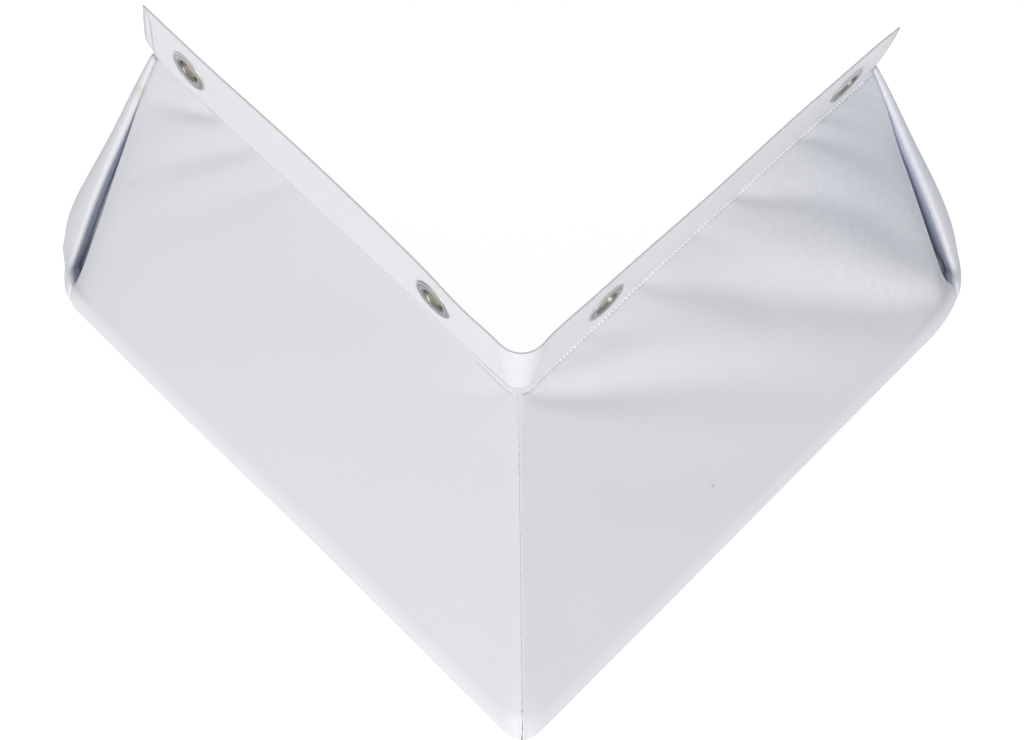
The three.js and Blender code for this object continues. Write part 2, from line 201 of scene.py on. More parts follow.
def section(q, inset, back):
    """(reach, z) on an arm's section at an inset under its outside.

    q runs 0..1 down the upper face, 1..2 round the nose on a circle, 2..3 back along the lower face, and
    3..4 straight up the dock side at reach = back.
    """
    half = folded(q)
    share = np.clip(half, 0, 1)
    radius = NOSE_RADIUS - inset
    seam_z = slope_height(inset, back)
    angle = NOSE_TURN * (1 - 2 * np.clip(half - 1, 0, 0.5))
    on_nose = half > 1
    reach = np.where(
        on_nose,
        NOSE_CENTRE + radius * np.cos(angle),
        lerp(back, NOSE_CENTRE + radius * math.cos(NOSE_TURN), share),
    )
    z = np.where(on_nose, radius * np.sin(angle), lerp(seam_z, radius * math.sin(NOSE_TURN), share))
    z = np.where(q > 1.5, -z, z)
    rear = q > 3
    reach = np.where(rear, back, reach)
    z = np.where(rear, lerp(-seam_z, seam_z, q - 3), z)
    return reach, z


def ridge_turn(side, x, reach):
    """How far the turned ridge draws a point in: a circle's sagitta past the start, times reach cubed. Past
    the ridge's end it soon grows no more."""
    radius, start = RIDGE_TURN[side]
    past = np.clip(x - (RIDGE_LENGTH[side] - start), 0, None)
    past = np.where(past > start, start + RIDGE_EASE * (1 - np.exp(-(past - start) / RIDGE_EASE)), past)
    drawn = radius - np.sqrt(radius**2 - past**2)
    return drawn * np.clip(reach / DEPTH, 0, None) ** 3


def depth_scale(side, along):
    """Stretch of an arm's depth, which changes smoothly along the arm."""
    corner, end = DEPTH_SCALE[side]
    return lerp(corner, end, smooth(*DEPTH_CHANGE, along))


def place_arm(side, x, reach, z):
    """Points in the part's frame. Near the mitre the seam runs on an arc that fades out down the slope. The
    upper edge rises along the arm in front of the flange, less at its end, and that fades out too."""
    rise, push = EDGE_RISE[side]
    risen = smooth(*RISE_ALONG, x) * (1 - END_LOSS * smooth(*RISE_FALL, x)) * smooth(*RISE_HEIGHT, z)
    down = np.clip(reach - LAYER, 0, None)
    fade = np.clip(1 - (reach - LAYER) / BEND_FADE, 0, 1)
    bend = np.maximum((SEAM_BEND + LAYER) * fade, 1e-9)
    run = x + reach
    arc_x = (1 - math.sqrt(0.5)) * bend + run * math.sqrt(0.5)
    inwards = bend - np.sqrt(np.clip(bend**2 - (bend - arc_x) ** 2, 0, None))
    turning = run < bend
    along = np.where(turning, arc_x - reach, x)
    out = np.where(turning, inwards - reach, ridge_turn(side, x, reach) - reach)
    out = out - push * risen * np.exp(-down / PUSH_LENGTH)
    z = z + rise * risen * (1 - smooth(*RISE_OUT, down))
    px, py = (along, out) if side == "right" else (out, along)
    stretch_x, stretch_y = depth_scale("left", py), depth_scale("right", px)
    px = np.where(px < 0, px * stretch_x, px)
    py = np.where(py < 0, py * stretch_y, py)
    return np.stack(np.broadcast_arrays(px, py, z), -1)


def towards_ridge(reach):
    """Reach as a share of the depth, 0 at the dock and 1 at the ridge."""
    return np.clip(reach / DEPTH, 0, 1)


def end_x(side, reach):
    """Where an arm ends: a power curve from the dock's end of the arm to the end of the ridge, on a bow."""
    share = towards_ridge(reach)
    plain = lerp(ARM_LENGTH, RIDGE_LENGTH[side], share ** END_SWELL[side])
    return plain + END_BOW[side] * np.sin(np.pi * share) ** 2


def lip_x(side, reach):
    """The lip of the cover lies on a slant, straight on the left arm and slightly bowed on the right one."""
    return lerp(LIP_AT_SEAM, LIP_AT_RIDGE[side], towards_ridge(reach) ** LIP_CURVE[side])


def pocket_width(side, q):
    """Gap between the cover's lip and the rolled rim: it opens down the slope and closes at the nose."""
    half = folded(q)
    opening = lerp(POCKET_SEAM, POCKET_WIDTH[side], np.sin(np.pi / 2 * np.clip(half, 0, 1)) ** 1.5)
    opening = lerp(opening, POCKET_SEAM, smooth(0.97, 1.16, half))
    return np.where(q > 3, POCKET_SEAM, opening)


def lip_depth(q):
    """How deep the cover turns in at its lip: more down the slope, and little round the nose."""
    half = folded(q)
    deep = lerp(*LIP_DEPTH, np.clip(half, 0, 1) ** 1.5)
    return np.where(q > 3, LIP_DEPTH[0], lerp(deep, LIP_DEPTH[0], smooth(1.0, 1.35, half)))


def lip_sink(side, q, to_lip):
    """How far the face sinks towards the lip: a short and a long exponential, less at seam and ridge."""
    half = folded(q)
    middle = smooth(0.0, 0.4, half) * (1 - smooth(0.92, 1.15, half)) * (q < 3)
    return middle * sum(dip * np.exp(-np.clip(to_lip, 0, None) / length) for dip, length in LIP_DIP[side])


def deepest(q):
    """Deepest inset that a tucked-in edge may have: the nose leaves less room than the middle of the slope."""
    half = folded(q)
    return lerp(*DEEPEST_TUCK, smooth(0.1, 0.4, half) * (1 - smooth(0.75, 0.97, half)) * (q < 3))


def tucked(side, q, extra):
    """Inset of the end's edges that turn in beside the lip, as far as the section leaves room."""
    return np.minimum(lip_sink(side, q, 0.0) + FOLD_RADIUS + lip_depth(q), deepest(q)) + extra


def rim_sink(side, q):
    """The rolled rim sinks less than the lip beside it."""
    return RIM_SHARE * lip_sink(side, q, 0.0)


def rim_start(side, q, reach):
    """Where the end's panel starts: the lip's place plus the pocket's width."""
    return lip_x(side, reach) + pocket_width(side, q)


def rim_radius(side, q):
    """Radius of the rolled rim, from its fold to the end of the arm."""
    reach, _ = section(q, np.zeros_like(q), LAYER)
    return end_x(side, reach) - rim_start(side, q, reach) - FOLD_RADIUS


# Folds: each is a path of (x, reach) places with a height and a width there, in millimetres
FOLDS = {
    "right": [
        [(5, 6, -0.9, 4), (13, 12, -1.5, 5), (26, 21, -2.1, 7), (50, 34, -3.0, 11), (78, 50, -3.1, 14),
         (112, 70, -2.2, 16), (140, 90, -1.3, 17), (164, 108, -0.4, 15)],
        [(22, 6, 0.5, 4), (44, 18, 0.9, 7), (84, 34, 0.9, 11), (130, 56, 0.7, 14)],
        [(96, 5, -1.0, 4), (111, 16, -1.7, 8), (134, 32, -2.6, 11), (153, 48, -3.4, 13), (173, 60, -3.7, 14),
         (191, 72, -3.7, 14), (214, 90, -3.3, 13), (230, 101, -2.8, 12), (249, 111, -1.5, 9)],
        [(150, 8, 0.6, 9), (182, 36, 1.8, 14), (216, 62, 2.6, 16), (240, 84, 2.7, 14), (262, 106, 2.4, 11)],
        [(176, 4, -1.3, 4), (188, 12, -1.9, 6), (206, 22, -2.2, 8), (226, 36, -2.4, 10), (243, 52, -2.0, 12),
         (256, 70, -1.0, 12)],
        [(232, 4, -1.1, 4), (244, 12, -1.6, 6), (257, 22, -1.4, 8), (270, 36, -0.7, 9)],
        [(254, 4, -0.7, 3.5), (266, 12, -0.8, 5), (277, 22, -0.3, 6)],
        [(140, 4, -0.5, 4), (150, 14, -0.6, 6), (164, 26, -0.2, 8)],
        [(52, 3, -0.4, 3.5), (64, 11, -0.7, 6), (82, 20, -0.3, 8)],
        [(20, 70, -0.5, 14), (62, 92, -0.8, 16), (110, 112, -0.4, 14)],
    ],
    "left": [
        [(249, 3, -1.3, 4), (262, 8, -1.8, 5), (276, 13, -1.5, 7), (290, 18, -0.4, 7)],
        [(218, 3, -0.8, 5), (230, 13, -1.3, 7), (246, 28, -1.3, 9), (262, 44, -0.6, 10)],
        [(186, 4, -0.5, 6), (200, 20, -0.9, 10), (216, 38, -0.9, 13), (236, 60, -0.9, 16), (252, 92, -0.7, 16)],
        [(274, 54, -0.35, 2.4), (270, 56, -0.5, 2.2), (266, 52, -0.3, 2.2)],
        [(8, 8, -0.5, 5), (22, 20, -0.6, 8), (44, 34, -0.2, 11)],
        [(120, 30, -0.3, 22), (175, 60, -0.8, 26), (215, 95, -0.9, 24)],
    ],
}
# How far the face sinks towards the lip, over what distance
LIP_DIP = {"left": ((3.0, 5.0), (3.2, 16.0)), "right": ((3.4, 7.0), (8.5, 25.0))}
RIM_SHARE = 0.35
# The mitre's stitch pitch, and how far each cover rolls in beside it, over what distance
MITRE_PITCH = 4.3
MITRE_ROLL = {"left": (0.55, 6.0), "right": (0.1, 3.0)}
# Near the corner: how far the hem lifts, and how deep the slit below it is. Each lies at (reach, width), and
# both are strongest at (run, width).
HEM_LIFT = {"left": (0.6, 1.7), "right": (0.3, 0.9)}
HEM_PLACE, SLIT_PLACE, HEM_MIDDLE = (2.7, 0.6), (3.4, 0.4), (17, 9)
PLAIN_HEM = 0.12
# Where the flange's stitches run, and how deep and wide their trough is
SEAM_REACH = {"left": 3.0, "right": 3.2}
TROUGH = {"left": 0.15, "right": 0.9}
TROUGH_WIDTH = 0.8


def fold_height(side, x, reach):
    """Sum of the folds. A point takes a fold's height at the nearest place of its path, times
    exp(-(distance / width)^2)."""
    total = np.zeros(np.broadcast(x, reach).shape)
    for path in FOLDS[side]:
        best = np.full(total.shape, np.inf)
        value = np.zeros(total.shape)
        for a, b in zip(path[:-1], path[1:]):
            dx, dr = b[0] - a[0], b[1] - a[1]
            share = np.clip(((x - a[0]) * dx + (reach - a[1]) * dr) / (dx * dx + dr * dr), 0, 1)
            distance = np.hypot(x - a[0] - share * dx, reach - a[1] - share * dr)
            width = lerp(a[3], b[3], share)
            here = lerp(a[2], b[2], share) * bell(distance, width)
            nearer = distance < best
            best = np.where(nearer, distance, best)
            value = np.where(nearer, here, value)
        total += value
    return total


def face_height(side, q, x, reach):
    """How far an arm's face stands out from its plain section.

    The sum of the folds, a slight crown of sines, the dip at the lip, the narrow groove of the mitre with
    its stitch dimples, and the welt along the flange seam. The lower face has the crown and the seams.
    """
    half = folded(q)
    upper = 1 - smooth(0.9, 1.15, q)
    flat = np.clip(half, 0, 1)
    run = x + reach
    to_lip = lip_x(side, reach) - x
    inside = smooth(0, 14, run) * smooth(0, 10, to_lip)
    seam = smooth(1, 7, reach)
    height = fold_height(side, x, reach) * upper * inside
    height += 1.6 * np.sin(np.pi * flat) * smooth(0, 70, run) * smooth(0, 60, to_lip)
    lower_waves = np.sin(x / 17 + 0.05 * reach) * np.sin(reach / 23 + x / 61)
    height += 0.7 * lower_waves * smooth(1.9, 2.3, q) * inside * seam
    height -= lip_sink(side, q, to_lip)
    # the mitre: both covers roll into the seam, dimpled at each stitch, and the ridge is round there
    dimple = 0.5 + 0.5 * np.cos(2 * np.pi * reach / (MITRE_PITCH * math.cos(SLOPE_FALL)))
    height -= (0.2 + 0.25 * dimple) * bell(run, 0.7)
    roll, length = MITRE_ROLL[side]
    height -= roll * (0.4 + 0.6 * smooth(20, 80, reach)) * bell(run, length)
    height -= 2.4 * bell(run, 8.0) * smooth(0.85, 1.1, half)
    # the hem along the flange seam, lifted near the corner over a slit
    (hem, hem_width), (slit, slit_width), (middle, spread) = HEM_PLACE, SLIT_PLACE, HEM_MIDDLE
    near_corner = bell(run, spread, middle)
    ends = smooth(0, 6, run) * smooth(0, 6, to_lip)
    lift, deep = HEM_LIFT[side]
    height += (PLAIN_HEM + lift * near_corner) * bell(reach, hem_width, hem) * ends
    height -= deep * near_corner * bell(reach, slit_width, slit) * ends
    # the trough that the stitches lie in
    height -= TROUGH[side] * bell(reach, TROUGH_WIDTH, SEAM_REACH[side]) * ends
    return height


# Meshes


def new_piece(name, points_mm, faces, materials, face_material=None, uv_mm=None):
    """A mesh piece from points in millimetres, riding on the root body with its place in its mesh."""
    mesh = bpy.data.meshes.new(name)
    mesh.from_pydata((np.asarray(points_mm, float).reshape(-1, 3) * MM).tolist(), [], faces)
    for material in materials:
        mesh.materials.append(material)
    if face_material is not None:
        mesh.polygons.foreach_set("material_index", np.asarray(face_material, np.int32))
    mesh.polygons.foreach_set("use_smooth", np.ones(len(mesh.polygons), bool))
    if uv_mm is not None:
        corner = np.empty(len(mesh.loops), np.int32)
        mesh.loops.foreach_get("vertex_index", corner)
        layer = mesh.uv_layers.new(name="cloth")
        layer.data.foreach_set("uv", (np.asarray(uv_mm, float).reshape(-1, 2)[corner] * MM).ravel())
    mesh.update()
    piece = bpy.data.objects.new(name, mesh)
    bpy.context.scene.collection.objects.link(piece)
    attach(piece, "root")
    return piece


def grid_faces(rows, columns, loop=False, flip=False):
    """Quads of a grid of rows and columns, each row closed on itself where loop is set."""
    width = columns if loop else columns - 1
    r, c = np.meshgrid(np.arange(rows - 1), np.arange(width), indexing="ij")
    n = (c + 1) % columns
    quads = np.stack([r * columns + c, r * columns + n, (r + 1) * columns + n, (r + 1) * columns + c], -1)
    quads = quads.reshape(-1, 4)
    return (quads[:, ::-1] if flip else quads).tolist()


def fan_faces(ring_start, count, pole, flip=False):
    """Triangles from a closed ring to a pole."""
    i = np.arange(count)
    tris = np.stack([ring_start + i, ring_start + (i + 1) % count, np.full(count, pole)], -1)
    return (tris[:, ::-1] if flip else tris).tolist()


def thicken(piece, thickness_mm):
    """A wall under the outer face, whose cut edges take the material after the face's own."""
    wall = piece.modifiers.new("wall", "SOLIDIFY")
    wall.thickness = thickness_mm * MM
    wall.offset = -1
    wall.material_offset_rim = 1


def steps(*stretches):
    """Joined evenly spaced stretches, each (start, end, count), without repeated joints."""
    parts = [np.linspace(a, b, n, endpoint=False) for a, b, n in stretches]
    return np.concatenate([*parts, [stretches[-1][1]]])


# Cover


def cover_surface(side):
    """Outer face of a front cover as a grid: rows run along the arm from the mitre to the lip, round the
    fold on a quarter circle and down the lip; columns run round the section from seam to seam. Returns the
    points and the count of rows inside the pocket."""
    q = steps((0, 0.055, 26), (0.055, 0.98, 84), (0.98, 2.02, 30), (2.02, 2.9, 44), (2.9, 3, 10))[None, :]
    near = 16.0  # rows up to this run keep parallel to the mitre
    near_rows = steps((0, 5, 12), (5, near, 10))[:-1]
    far = steps((0, 0.86, 118), (0.86, 1, 34))
    angles = np.radians([15, 30, 45, 60, 75, 90])
    depths = np.array([0.15, 0.35, 0.6, 0.8, 1.0])
    reach, _ = section(q, np.zeros_like(q), LAYER)
    fold_start = lip_x(side, reach) - COVER_FOLD
    rows_x = [run + 0.12 - reach for run in near_rows]
    rows_x += [lerp(near - reach, fold_start, share) for share in far]
    rows_x = np.concatenate(rows_x, 0)
    height = face_height(side, q, rows_x, reach)
    inset = -height
    last_inset = inset[-1:]
    # rows are placed again with the reach that the height gives, so that the mitre stays in its plane
    actual, z = section(q, inset, LAYER)
    shift = np.concatenate([np.full((len(near_rows), 1), 1.0), 1 - far[:, None]], 0)
    x = rows_x - (actual - reach) * shift
    faces = [place_arm(side, x, actual, z)]
    for angle in angles:
        a_reach, a_z = section(q, last_inset + COVER_FOLD * (1 - math.cos(angle)), LAYER)
        faces.append(place_arm(side, fold_start + COVER_FOLD * math.sin(angle), a_reach, a_z))
    top = last_inset + COVER_FOLD
    bottom = np.minimum(top + lip_depth(q), deepest(q))
    for share in depths:
        a_reach, a_z = section(q, lerp(top, bottom, share), LAYER)
        faces.append(place_arm(side, fold_start + COVER_FOLD, a_reach, a_z))
    return np.concatenate(faces, 0), len(depths) + 1


def unrolled(points):
    """Lengths along the columns of a grid, summed from its first column."""
    lengths = np.linalg.norm(np.diff(points, axis=1), axis=2)
    return np.concatenate([np.zeros((len(points), 1)), np.cumsum(lengths, axis=1)], 1)


def build_cover(side, materials):
    """A front cover with its folded lip, whose rows inside the pocket take a darker tint of painted shade."""
    points, inner_rows = cover_surface(side)
    rows, columns = points.shape[:2]
    along = np.broadcast_to(points[:, :, 0 if side == "right" else 1], (rows, columns))
    uv = np.stack([along, unrolled(points)], -1)
    faces = grid_faces(rows, columns, flip=side == "right")
    # rows inside the pocket take the darker tint of painted shade
    pocket_shade = np.repeat(np.where(np.arange(rows - 1) >= rows - inner_rows, 2, 0), columns - 1)
    piece = new_piece(f"cover_{side}", points, faces, materials, face_material=pocket_shade, uv_mm=uv)
    thicken(piece, VINYL)
    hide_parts(f"front_cover_{side}")


# End panels and foam


def loop_q(fine):
    """Places round the closed section, without the joint repeated."""
    stretches = ((0, 0.98, 10 * fine), (0.98, 2.02, 5 * fine), (2.02, 3, 10 * fine), (3, 4, 6 * fine))
    return steps(*stretches)[:-1][None, :]


def end_rings(side, q, deep, rolls, domes):
    """Rings of an arm's end at a depth: an elliptical roll over the rim, then a dome that closes it, with
    puckers of sines round its edge."""
    rings = []
    radius = rim_radius(side, q)
    sunk = rim_sink(side, q)
    edge = sunk + RIM_DEPTH * (1 - np.exp(-radius / RIM_DEPTH))
    for angle in rolls:
        inset = lerp(sunk + deep, edge, 1 - math.cos(angle))
        reach, z = section(q, inset, LAYER + inset)
        start = rim_start(side, q, reach) + FOLD_RADIUS
        rings.append(place_arm(side, start + (radius - deep) * math.sin(angle), reach, z))
    reach, z = section(q, edge, LAYER + edge)
    pucker = PUCKER_SIZE * sum(size * np.sin(q * waves + phase) for size, waves, phase in PUCKERS)
    for share in domes:
        r, h = lerp(DOME_REACH, reach, share), z * share
        bulge = END_BULGE * (1 - share**2) ** 1.8 + pucker * share**4 * (1 - share)
        rings.append(place_arm(side, end_x(side, r) - deep + bulge, r, h))
    return rings


def end_pole(side, deep):
    """The middle of the dome that closes an arm at a depth."""
    return place_arm(side, end_x(side, DOME_REACH) - deep + END_BULGE, np.array(DOME_REACH), np.array(0.0))


def closed_shell(side, rings, far_pole, near_pole=None):
    """Points and faces of closed rings along an arm, with a pole that closes the far end, and one for the
    near end where it is given. Also the count of points in a ring."""
    points = np.concatenate(rings, 0)
    rows, columns = points.shape[:2]
    last = rows * columns
    flip = side == "right"
    poles = [far_pole]
    faces = grid_faces(rows, columns, loop=True, flip=flip)
    faces += fan_faces(last - columns, columns, last, flip=flip)
    if near_pole is not None:
        poles.append(near_pole)
        faces += fan_faces(0, columns, last + 1, flip=not flip)
    return np.concatenate([points.reshape(-1, 3), poles], 0), faces, columns


def build_end(side, materials):
    """The panel that closes an arm: a lip behind the pocket, a rolled rim and a bulging end."""
    q = loop_q(7)
    rings = []
    sunk = rim_sink(side, q)
    lip_shares = (1.0, 0.7, 0.4, 0.15)
    for share in lip_shares:
        deep = lerp(sunk + FOLD_RADIUS, tucked(side, q, 0.0), share)
        reach, z = section(q, deep, LAYER + deep)
        rings.append(place_arm(side, rim_start(side, q, reach), reach, z))
    for angle in np.radians([0, 30, 60]):
        inset = sunk + FOLD_RADIUS * (1 - math.sin(angle))
        reach, z = section(q, inset, LAYER + inset)
        start = rim_start(side, q, reach)
        rings.append(place_arm(side, start + FOLD_RADIUS * (1 - math.cos(angle)), reach, z))
    domes = np.linspace(0.97, 0.06, 18)
    rings += end_rings(side, q, 0.0, np.radians(np.linspace(0, 90, 15)), domes)
    points, faces, columns = closed_shell(side, rings, end_pole(side, 0.0))
    # the faces of the lip inside the pocket take the darker tint of painted shade
    pocket_shade = np.where(np.arange(len(faces)) < (len(lip_shares) - 1) * columns, 2, 0)
    piece = new_piece(f"end_{side}", points, faces, materials, face_material=pocket_shade)
    thicken(piece, VINYL)
    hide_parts(f"end_panel_{side}")


def build_foam(side, materials):
    """The block inside the covers: body under the face with its folds, neck behind the lips, and head."""
    q = loop_q(4)
    gap = LAYER + 0.5  # between the outside of the cover and the foam
    neck_set, neck_end = 3.0, 2.4  # the neck starts before the lip and ends behind the rim's start
    reach, _ = section(q, np.zeros_like(q), LAYER)
    rings = []
    body_end = lip_x(side, reach) - neck_set
    for share in steps((0, 0.1, 4), (0.1, 0.9, 44), (0.9, 1, 5)):
        x = lerp(0.3 - reach, body_end, share)
        height = np.where(q > 3, 0, face_height(side, np.clip(q, 0, 3), x, reach))
        actual, z = section(q, gap - height, gap)
        x = x - (actual - reach) * (1 - share)
        rings.append(place_arm(side, x, actual, z))
    neck = tucked(side, q, 1.3)
    neck_reach, neck_z = section(q, neck, LAYER + neck)
    rings.append(place_arm(side, lip_x(side, neck_reach) - neck_set, neck_reach, neck_z))
    rings.append(place_arm(side, rim_start(side, q, neck_reach) + neck_end, neck_reach, neck_z))
    rings += end_rings(side, q, gap, np.radians(np.linspace(0, 90, 6)), np.linspace(0.9, 0.1, 6))
    near_pole = rings[0].reshape(-1, 3).mean(0)
    points, faces, _ = closed_shell(side, rings, end_pole(side, gap), near_pole)
    piece = new_piece(f"foam_block_{side}", points, faces, materials)
    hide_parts(f"foam_{side}")


# Flat layers


def bend_radius(z):
    """Radius of the corner's bend, which grows evenly from the seam to the free edge."""
    return lerp(SEAM_BEND, EDGE_BEND, np.clip((np.abs(z) - SEAM_Z) / FLANGE_HEIGHT, 0, 1))


def smoothed(places):
    """A line through (place, value) pairs, sampled at each millimetre and averaged twice over 15 mm."""
    at = np.arange(-330.0, 331.0)
    values = np.interp(at, *np.transpose(places))
    for _ in range(2):
        values = np.convolve(np.pad(values, 7, mode="edge"), np.full(15, 1 / 15), mode="valid")
    return at, values


LEAN_LINE = smoothed(LEAN)


def edge_lean(along):
    """How far the free edge leans out at a place along the flange, with a slight wave of two sines."""
    wave = 0.25 * np.sin(along / 21 + 1) + 0.2 * np.sin(along / 47)
    return np.interp(along, *LEAN_LINE) + wave * smooth(10, 60, np.abs(along))


def lean_at(along, z):
    """How far the upper flange leans out at a height: it grows evenly from the seam to the free edge."""
    return edge_lean(along) * np.clip((z - SEAM_Z) / FLANGE_HEIGHT, 0, 1)


def pinch(along, z):
    """How far the layers are drawn together near the free edges of a flange."""
    edge = smooth(EDGE_Z - PINCH_WIDTH, EDGE_Z, np.abs(z))
    end = smooth(ARM_LENGTH - PINCH_WIDTH, ARM_LENGTH, np.abs(along))
    return EDGE_PINCH * np.maximum(edge, end) * (np.abs(z) > SEAM_Z)


def layer_points(along, z, offset):
    """Points on a flat layer at an offset from the dock. along runs from minus the arm's length at the left
    end to plus that at the right end; within the bend it is shared out over a quarter circle."""
    bend = bend_radius(z)
    run = np.abs(along)
    lean = lean_at(along, z)
    radius = bend + offset + lean
    half_arc = radius * math.pi / 4
    path = run / BEND_SPAN * (half_arc + BEND_SPAN - bend)
    on_arc = (run < BEND_SPAN) & (path < half_arc)
    angle = math.pi / 4 + path / radius
    x = np.where(run < BEND_SPAN, bend + path - half_arc, run)
    px = np.where(on_arc, bend - radius * np.cos(angle), x)
    py = np.where(on_arc, bend - radius * np.sin(angle), -offset - lean)
    left = along < 0
    return np.stack(np.broadcast_arrays(np.where(left, py, px), np.where(left, px, py), z), -1)


def layer_grid(alongs, zs, holes, radius):
    """A flat grid of (along, z) places with a round hole at each of the given centres.

    Round each hole a square of cells gives way to rings, which pass from the square to the circle."""
    half = 9.0  # of the square's side
    cols = {round(c + s * half, 4) for c, _ in holes for s in (-1, 1)}
    rows = {round(c + s * half, 4) for _, c in holes for s in (-1, 1)}

    def with_marks(values, marks):
        """Grid lines with those near a mark left out and the marks put in."""
        kept = [v for v in values if all(abs(v - m) > 0.9 for m in marks)]
        return np.array(sorted(kept + list(marks)))

    a, z = with_marks(alongs, cols), with_marks(zs, rows)
    flat = np.stack(np.meshgrid(a, z, indexing="xy"), -1)
    count_z, count_a = flat.shape[:2]
    index = np.arange(count_z * count_a).reshape(count_z, count_a)
    keep = np.ones((count_z - 1, count_a - 1), bool)
    points, faces = [flat.reshape(-1, 2)], []
    start = count_z * count_a
    for ca, cz in holes:
        i0, i1 = (int(np.argmin(np.abs(a - (ca + s * half)))) for s in (-1, 1))
        j0, j1 = (int(np.argmin(np.abs(z - (cz + s * half)))) for s in (-1, 1))
        keep[j0:j1, i0:i1] = False
        border = np.concatenate([
            index[j0, i0:i1], index[j0:j1, i1], index[j1, i1:i0:-1], index[j1:j0:-1, i0],
        ])
        edge = flat.reshape(-1, 2)[border]
        centre = np.array([ca, cz])
        out = edge - centre
        circle = centre + out / np.linalg.norm(out, axis=1)[:, None] * radius
        n = len(border)
        before = border
        for share in (0.4, 0.75, 1.0):
            points.append(lerp(edge, circle, share))
            ring = start + np.arange(n)
            following = np.roll(np.arange(n), -1)
            faces += np.stack([before, before[following], ring[following], ring], -1).tolist()
            before = ring
            start += n
    r, c = np.nonzero(keep)
    quads = np.stack([index[r, c], index[r, c + 1], index[r + 1, c + 1], index[r + 1, c]], -1)
    return np.concatenate(points, 0), quads.tolist() + faces


def end_trim(along, z, trims):
    """Draws the ends of a flange in or out, by (height, shift) places for each end."""
    shift = np.where(along < 0, *(np.interp(np.abs(z), *np.transpose(trims[side])) for side in SIDES))
    near_end = smooth(ARM_LENGTH - 16, ARM_LENGTH, np.abs(along))
    return np.sign(along) * shift * near_end * (np.abs(z) > SEAM_Z)


# The shapes of the flange's ends, as (height, shift) places of the inner and of the outer layer
BACK_TRIM = {
    "left": ((96, -3.0), (98.5, -2.0), (101.6, 0.7), (105, 4.2), (112, 4.2), (128, 2.0), (146, -1.5)),
    "right": ((96, -3.0), (99, -1.5), (104, 1.5), (112, 2.2), (128, 1.2), (146, -2.0)),
}
STRIP_TRIM = {
    "left": ((96, -3.2), (100, -2.6), (110, -2.8), (135, -5.6), (141, -4.4), (146, -1.7)),
    "right": ((96, -3.2), (99, -1.8), (104, 0.8), (112, 1.5), (128, 0.6), (146, -2.2)),
}


def grommet_spots(levels):
    """(along, z) places of the grommets of the given flanges."""
    return [
        (sign * run, z)
        for z in [GROMMET_Z * LEVELS[level] for level in levels]
        for sign in (-1, 1)
        for run in (GROMMET_NEAR, GROMMET_FAR)
    ]


def build_layer(name, node, offset, zs, levels, materials, trims):
    """A sheet of vinyl bent round the dock's corner, punched for its grommets."""
    alongs = steps((-ARM_LENGTH, -18, 110), (-18, 18, 26), (18, ARM_LENGTH, 110))
    hole = GROMMET_HOLE / 2 + GROMMET_METAL + CLEARANCE
    places, faces = layer_grid(alongs, zs, grommet_spots(levels), hole)
    along, z = places[:, 0], places[:, 1]
    squeeze = pinch(along, z) if offset > VINYL else 0.0
    along = along + end_trim(along, z, trims)
    points = layer_points(along, z, offset - squeeze)
    piece = new_piece(name, points, faces, materials, uv_mm=np.stack([along, z], -1))
    thicken(piece, FLANGE_VINYL)
    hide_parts(node)


# Grommets


def grommet_frame(along, z):
    """Turn and place of a grommet: its Z axis points out of the flange, square to its lean."""
    lean = float(lean_at(np.array(along), np.array(z)))
    rise = float(edge_lean(np.array(along))) / FLANGE_HEIGHT if z > 0 else 0.0
    out = np.array([0.0, -1.0, -rise])
    place = np.array([abs(along), -STRIP_FRONT - lean, z])
    across = np.array([1.0, 0.0, 0.0])
    if along < 0:
        out, place, across = out[[1, 0, 2]], place[[1, 0, 2]], across[[1, 0, 2]]
    out = out / np.linalg.norm(out)
    up = np.cross(out, across)
    return np.stack([across, up, out], 1), place


def turned(profile, sides):
    """A closed profile of (radius, height) points turned about Z, as rings of a closed tube."""
    angle = np.linspace(0, 2 * np.pi, sides, endpoint=False)
    profile = np.asarray(profile, float)
    x = profile[:, None, 0] * np.cos(angle)
    y = profile[:, None, 0] * np.sin(angle)
    z = np.broadcast_to(profile[:, None, 1], x.shape)
    return np.stack([x, y, z], -1)


def tube_faces(rings, sides):
    """Quads of a profile that closes on itself, turned full circle."""
    r, c = np.meshgrid(np.arange(rings), np.arange(sides), indexing="ij")
    n, m = (c + 1) % sides, (r + 1) % rings
    quads = np.stack([r * sides + c, r * sides + n, m * sides + n, m * sides + c], -1)
    return quads.reshape(-1, 4).tolist()


def rounded(corners, radius, count=5):
    """A profile with each corner cut by a curve of count points: quadratic arcs between its shoulders."""
    corners = np.asarray(corners, float)
    before, after = np.roll(corners, 1, 0), np.roll(corners, -1, 0)
    points = []
    for corner, a, b in zip(corners, before, after):
        la, lb = np.linalg.norm(a - corner), np.linalg.norm(b - corner)
        cut = min(radius, la * 0.45, lb * 0.45)
        first, last = corner + (a - corner) / la * cut, corner + (b - corner) / lb * cut
        for t in np.linspace(0, 1, count):
            points.append((1 - t) ** 2 * first + 2 * t * (1 - t) * corner + t * t * last)
    return np.array(points)


